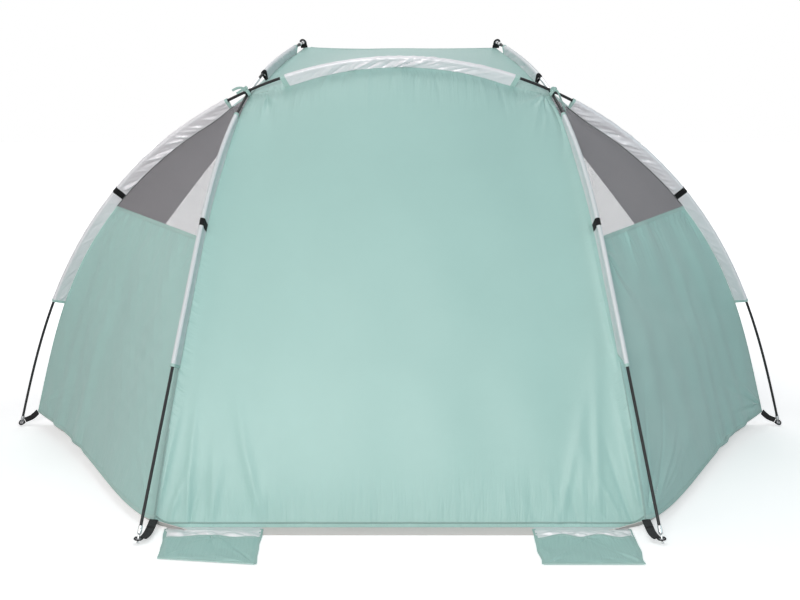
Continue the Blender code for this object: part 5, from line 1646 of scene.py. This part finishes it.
# Sand pockets: flat bags of the mint cloth sewn to the rear hem, lined with the silver side and
# open towards the wall, so that sand can be shovelled in. Tape binds their sides.
pocket_width, pocket_length, pocket_centre, mouth_setback = 0.240, 0.275, 0.452, 0.086
pocket_edge, pocket_crown, pocket_hinge_gap = 0.0036, 0.0056, 0.00175
lining_short, lining_lift, root_sunk, root_reach = 0.002, 0.0006, 0.0009, 0.03
room_slope, room_start, ruck_height, ruck_scale = 0.20, 0.016, 0.0200, 9.0
face_lift, shut_reach, side_wave, face_waves = 0.0014, 0.012, 0.0022, (0.09, 0.0012)
lining_rows, face_rows, pocket_columns = 74, 62, 90
side_tape, end_band, mouth_tape = (0.009, 0.0017), (0.010, 0.0030), (0.007, 0.0014)
side_tape_lift, side_tape_row, end_band_lift, end_band_inset = 0.0011, 5, 0.0018, 0.004
pocket_root = rear_corner[1] - pocket_hinge_gap
POCKET_LINING = cloth_finish("crumpled_lining", (0.90, 0.88, 0.90), 0.0005, 0.34, 0.14, 0.25,
                             0.85, Metallic=0.15, Specular_IOR_Level=0.5)
pocket_across = shares_of(pocket_columns)


def edge_waves(seed):
    """A gentle wave of a pocket's side edges, along its length."""
    turns = np.random.default_rng(seed).uniform(0, 2 * math.pi, 2)
    return lambda share: side_wave * share * (np.sin(9 * share + turns[0])
                                              + 0.6 * np.sin(17 * share + turns[1]))


def crumpled(shape, seed, height, scale):
    """Small sharp facets: seeded ridges between random slopes, strongest in the middle."""
    chance = np.random.default_rng(seed)
    rows, columns = np.meshgrid(np.arange(shape[0]) / shape[1], np.arange(shape[1]) / shape[1],
                                indexing="ij")
    total = np.zeros(shape)
    for _ in range(16):
        turn = chance.uniform(0, 2 * math.pi)
        rate = scale * chance.uniform(0.6, 2.0)
        wave = rate * (0.5 * math.cos(turn) * columns + math.sin(turn) * rows)
        wave = wave + chance.uniform(0, 9)
        total += (1 - 2 * np.abs(wave % 2 - 1)) * height / 5 * chance.uniform(0.4, 1.0)
    return total


def laid_across(share, across, sign, shifts, narrow, wavy):
    """Where a pocket's points lie across the tent: it lies a little askew on the ground."""
    shift = shifts[0] + (shifts[1] - shifts[0]) * share
    return (sign * pocket_centre + shift + across[None] * (1 + (narrow - 1) * share)
            + wavy(share) * np.sign(across[None]) * np.abs(across[None] / across[0]) ** 3)


# Each pocket: its side of the tent, seed, sideways shifts at the hem and at its end, the width
# and slant of its end, and the reach, count and turn of the waves in its mouth.
for side, sign, seed, shifts, end_width, end_slant, (lip_reach, lip_waves, lip_turn) in (
    ("left", -1.0, 201, (-0.014, 0.002), 0.930, 0.040, (0.005, 1.3, 0.7)),
    ("right", 1.0, 211, (0.002, -0.004), 0.975, 0.0, (0.012, 2.5, 0.8)),
):
    body = side + "_sand_pocket_body"
    across = (pocket_across - 0.5) * pocket_width
    lip = lip_reach * np.sin(2 * math.pi * lip_waves * pocket_across + lip_turn)
    slanted = 1.0 - end_slant * (1.0 - pocket_across) / pocket_length
    askew = (across, sign, shifts, end_width, edge_waves(seed))
    back = shares_of(lining_rows)[:, None]
    floor_grid = np.empty((len(back), len(across), 3))
    floor_grid[..., 0] = laid_across(back, *askew)
    floor_grid[..., 1] = pocket_root - back * (pocket_length - lining_short) * slanted[None]
    near = clamped(1.0 - back * pocket_length / mouth_setback)
    room = room_slope * np.maximum(back * pocket_length - room_start, 0.0)
    ruck = np.abs(crumpled(floor_grid.shape[:2], seed, ruck_height, ruck_scale))
    ruck = ruck * clamped(near * 4)
    sunk = root_sunk * np.exp(-(back * pocket_length / root_reach) ** 2)
    floor_grid[..., 2] = cloth_rest + lining_lift - sunk
    floor_grid[..., 2] += room * (1.0 - np.exp(-ruck / (room + 0.0001)))
    lining = cloth_shell(side + "_pocket_lining", floor_grid, cloth_thickness,
                         [POCKET_LINING, MINT_OUTSIDE], away_from=BELOW_GROUND)
    dress(lining, body, [side + "_sand_pocket"])
    back = shares_of(face_rows)
    face_grid = np.empty((len(back), len(across), 3))
    run = pocket_length - mouth_setback
    start = pocket_root - mouth_setback - lip[None]
    end = pocket_root - pocket_length * slanted[None]
    face_grid[..., 1] = start + (end - start) * back[:, None]
    face_grid[..., 0] = laid_across((pocket_root - face_grid[..., 1]) / pocket_length, *askew)
    round_off = 1.0 - (2 * pocket_across[None] - 1.0) ** 2
    close = np.cos(math.pi / 2 * back[:, None])
    rise = pocket_edge + (pocket_crown - pocket_edge) * close * round_off
    shut = np.minimum(np.minimum(across - across[0], across[-1] - across)[None] / shut_reach,
                      (1 - back[:, None]) * run / shut_reach)
    shut = eased(shut)
    size = (pocket_width, run)
    short, thin, low = (0.05, 0.17), (0.003, 0.005), (0.0018, 0.0040)
    creases = fans(size, (
        (seed + 1, (0.03, 0.97), -35, 60, 6, short, thin, low),
        (seed + 2, (0.97, 0.97), -145, 60, 6, short, thin, low),
        (seed + 3, (0.5, 0.02), 60, 150, 7, (0.05, 0.15), thin, low),
    ))
    waves = creased(pocket_across, back, size, creases)
    waves += rolling(pocket_across, back, size, seed + 4, *face_waves)
    face_grid[..., 2] = cloth_rest + face_lift + np.maximum(rise - face_lift + waves, 0.0) * shut
    face = cloth_shell(side + "_pocket_face", face_grid, cloth_thickness,
                       [MINT_OUTSIDE, POCKET_LINING], away_from=BELOW_GROUND)
    dress(face, body)
    bands = []
    for label, edge in (("outer", 0), ("inner", -1)):
        line = floor_grid[side_tape_row:, edge].copy()
        line[:, 2] = cloth_rest + side_tape_lift
        bands.append((label, line, (1, 0, 0), side_tape))
    hem = face_grid[-1].copy()
    hem[:, 2] = cloth_rest + end_band_lift
    hem[:, 1] += end_band_inset
    bands += [("end", hem, (0, 1, 0), end_band),
              ("mouth", face_grid[0, 1:-1].copy(), (0, 1, 0.1), mouth_tape)]
    for label, line, wide, (width, thickness) in bands:
        binding = ribbon(f"{side}_pocket_{label}_binding", line, wide, width, thickness,
                         MINT_BINDING)
        dress(binding, body)
    stitched(side + "_pocket_stitches", [face_grid[2, 1:-1] + 0.0005 * UP], body)

# Studio: a pale floor and a white surround. A large soft light stands left of the camera, weak
# ones, warm on the left and cool on the right, stand beside the tent, and one hangs above it.
# The camera looks at the back of the tent from chest height.
focal_pixels, frame_width, sensor_width = 1350.0, 800, 36.0
camera_back, camera_up, camera_pitch = 3.744, 1.063, math.radians(8.43)
floor_near, floor_far, floor_lift_near, floor_reach = 1.6, 4.0, 0.45, 30.0
surround_strength, surround_tint = 0.30, (0.95, 0.98, 1.03, 1.0)

camera = put("camera", bpy.data.cameras.new("camera"))
camera.data.sensor_width = sensor_width
camera.data.lens = focal_pixels * sensor_width / frame_width
camera.location = (0.0, -camera_back, camera_up)
camera.rotation_euler = (math.pi / 2 - camera_pitch, 0.0, 0.0)
bpy.context.scene.camera = camera


def floor_finish():
    """A pale painted floor with a faint grain. The camera sees it as white, and it keeps the
    tent's shadow: light is added for camera rays alone, and more of it far from the tent."""
    material, tree, shader = finish("pale_floor", Roughness=0.9, Specular_IOR_Level=0.2,
                                    Emission_Color=(1.0, 1.0, 1.0, 1.0))
    place = object_place(tree)
    grain = noise(tree, place, Scale=40.0)
    two_tones(tree, shader, grain, (0.86, 0.86, 0.86), (0.90, 0.90, 0.90))
    away = wire(tree, "ShaderNodeVectorMath", {0: place}, operation="LENGTH")
    lift = wire(tree, "ShaderNodeMapRange", {
        "Value": away.outputs["Value"], "From Min": floor_near, "From Max": floor_far,
        "To Min": floor_lift_near, "To Max": 1.0})
    rays = wire(tree, "ShaderNodeLightPath")
    seen = worked_out(tree, "MULTIPLY", lift.outputs[0], rays.outputs["Is Camera Ray"])
    tree.links.new(seen, shader.inputs["Emission Strength"])
    return material


floor_mesh = bpy.data.meshes.new("floor")
corners = [(-floor_reach, -floor_reach, 0), (floor_reach, -floor_reach, 0),
           (floor_reach, floor_reach, 0), (-floor_reach, floor_reach, 0)]
floor_mesh.from_pydata(corners, [], [(0, 1, 2, 3)])
floor_mesh.materials.append(floor_finish())
put("floor", floor_mesh)

world = bpy.data.worlds.new("surround")
bpy.context.scene.world = world
world.use_nodes = True
sky = world.node_tree
rays = wire(sky, "ShaderNodeLightPath")
seen = worked_out(sky, "MAXIMUM", rays.outputs["Is Camera Ray"], rays.outputs["Is Glossy Ray"])
seen = worked_out(sky, "MAXIMUM", seen, rays.outputs["Is Transmission Ray"])
strength = wire(sky, "ShaderNodeMapRange", {"Value": seen, "To Min": surround_strength,
                                            "To Max": 1.0})
shade = wire(sky, "ShaderNodeMix", {0: seen, "A": surround_tint, "B": (1.0, 1.0, 1.0, 1.0)},
             data_type="RGBA")
sky.links.new(strength.outputs[0], sky.nodes["Background"].inputs["Strength"])
sky.links.new(shade.outputs["Result"], sky.nodes["Background"].inputs["Color"])

# Each lamp: its name, place, size, power and colour. All are turned to the middle of the tent.
tent_middle = Vector((0.0, 0.0, 0.5))
for name, place, size, power, colour in (
    ("key", (-1.0, -5.8, 1.9), 1.6, 176.0, (1.0, 0.985, 0.965)),
    ("warm_side", (-4.6, -1.6, 1.6), 1.8, 9.0, (1.0, 0.92, 0.74)),
    ("cool_side", (4.6, -2.2, 1.6), 2.4, 17.0, (0.30, 0.95, 1.0)),
    ("top", (-0.4, 1.0, 4.5), 2.5, 45.0, (1.0, 1.0, 1.0)),
):
    light = bpy.data.lights.new(name, "AREA")
    light.shape, light.size, light.energy, light.color = "DISK", size, power, colour
    lamp = put(name, light)
    lamp.location = place
    lamp.rotation_euler = (tent_middle - Vector(place)).to_track_quat("-Z", "Y").to_euler()

bpy.context.scene.view_settings.view_transform = "Standard"
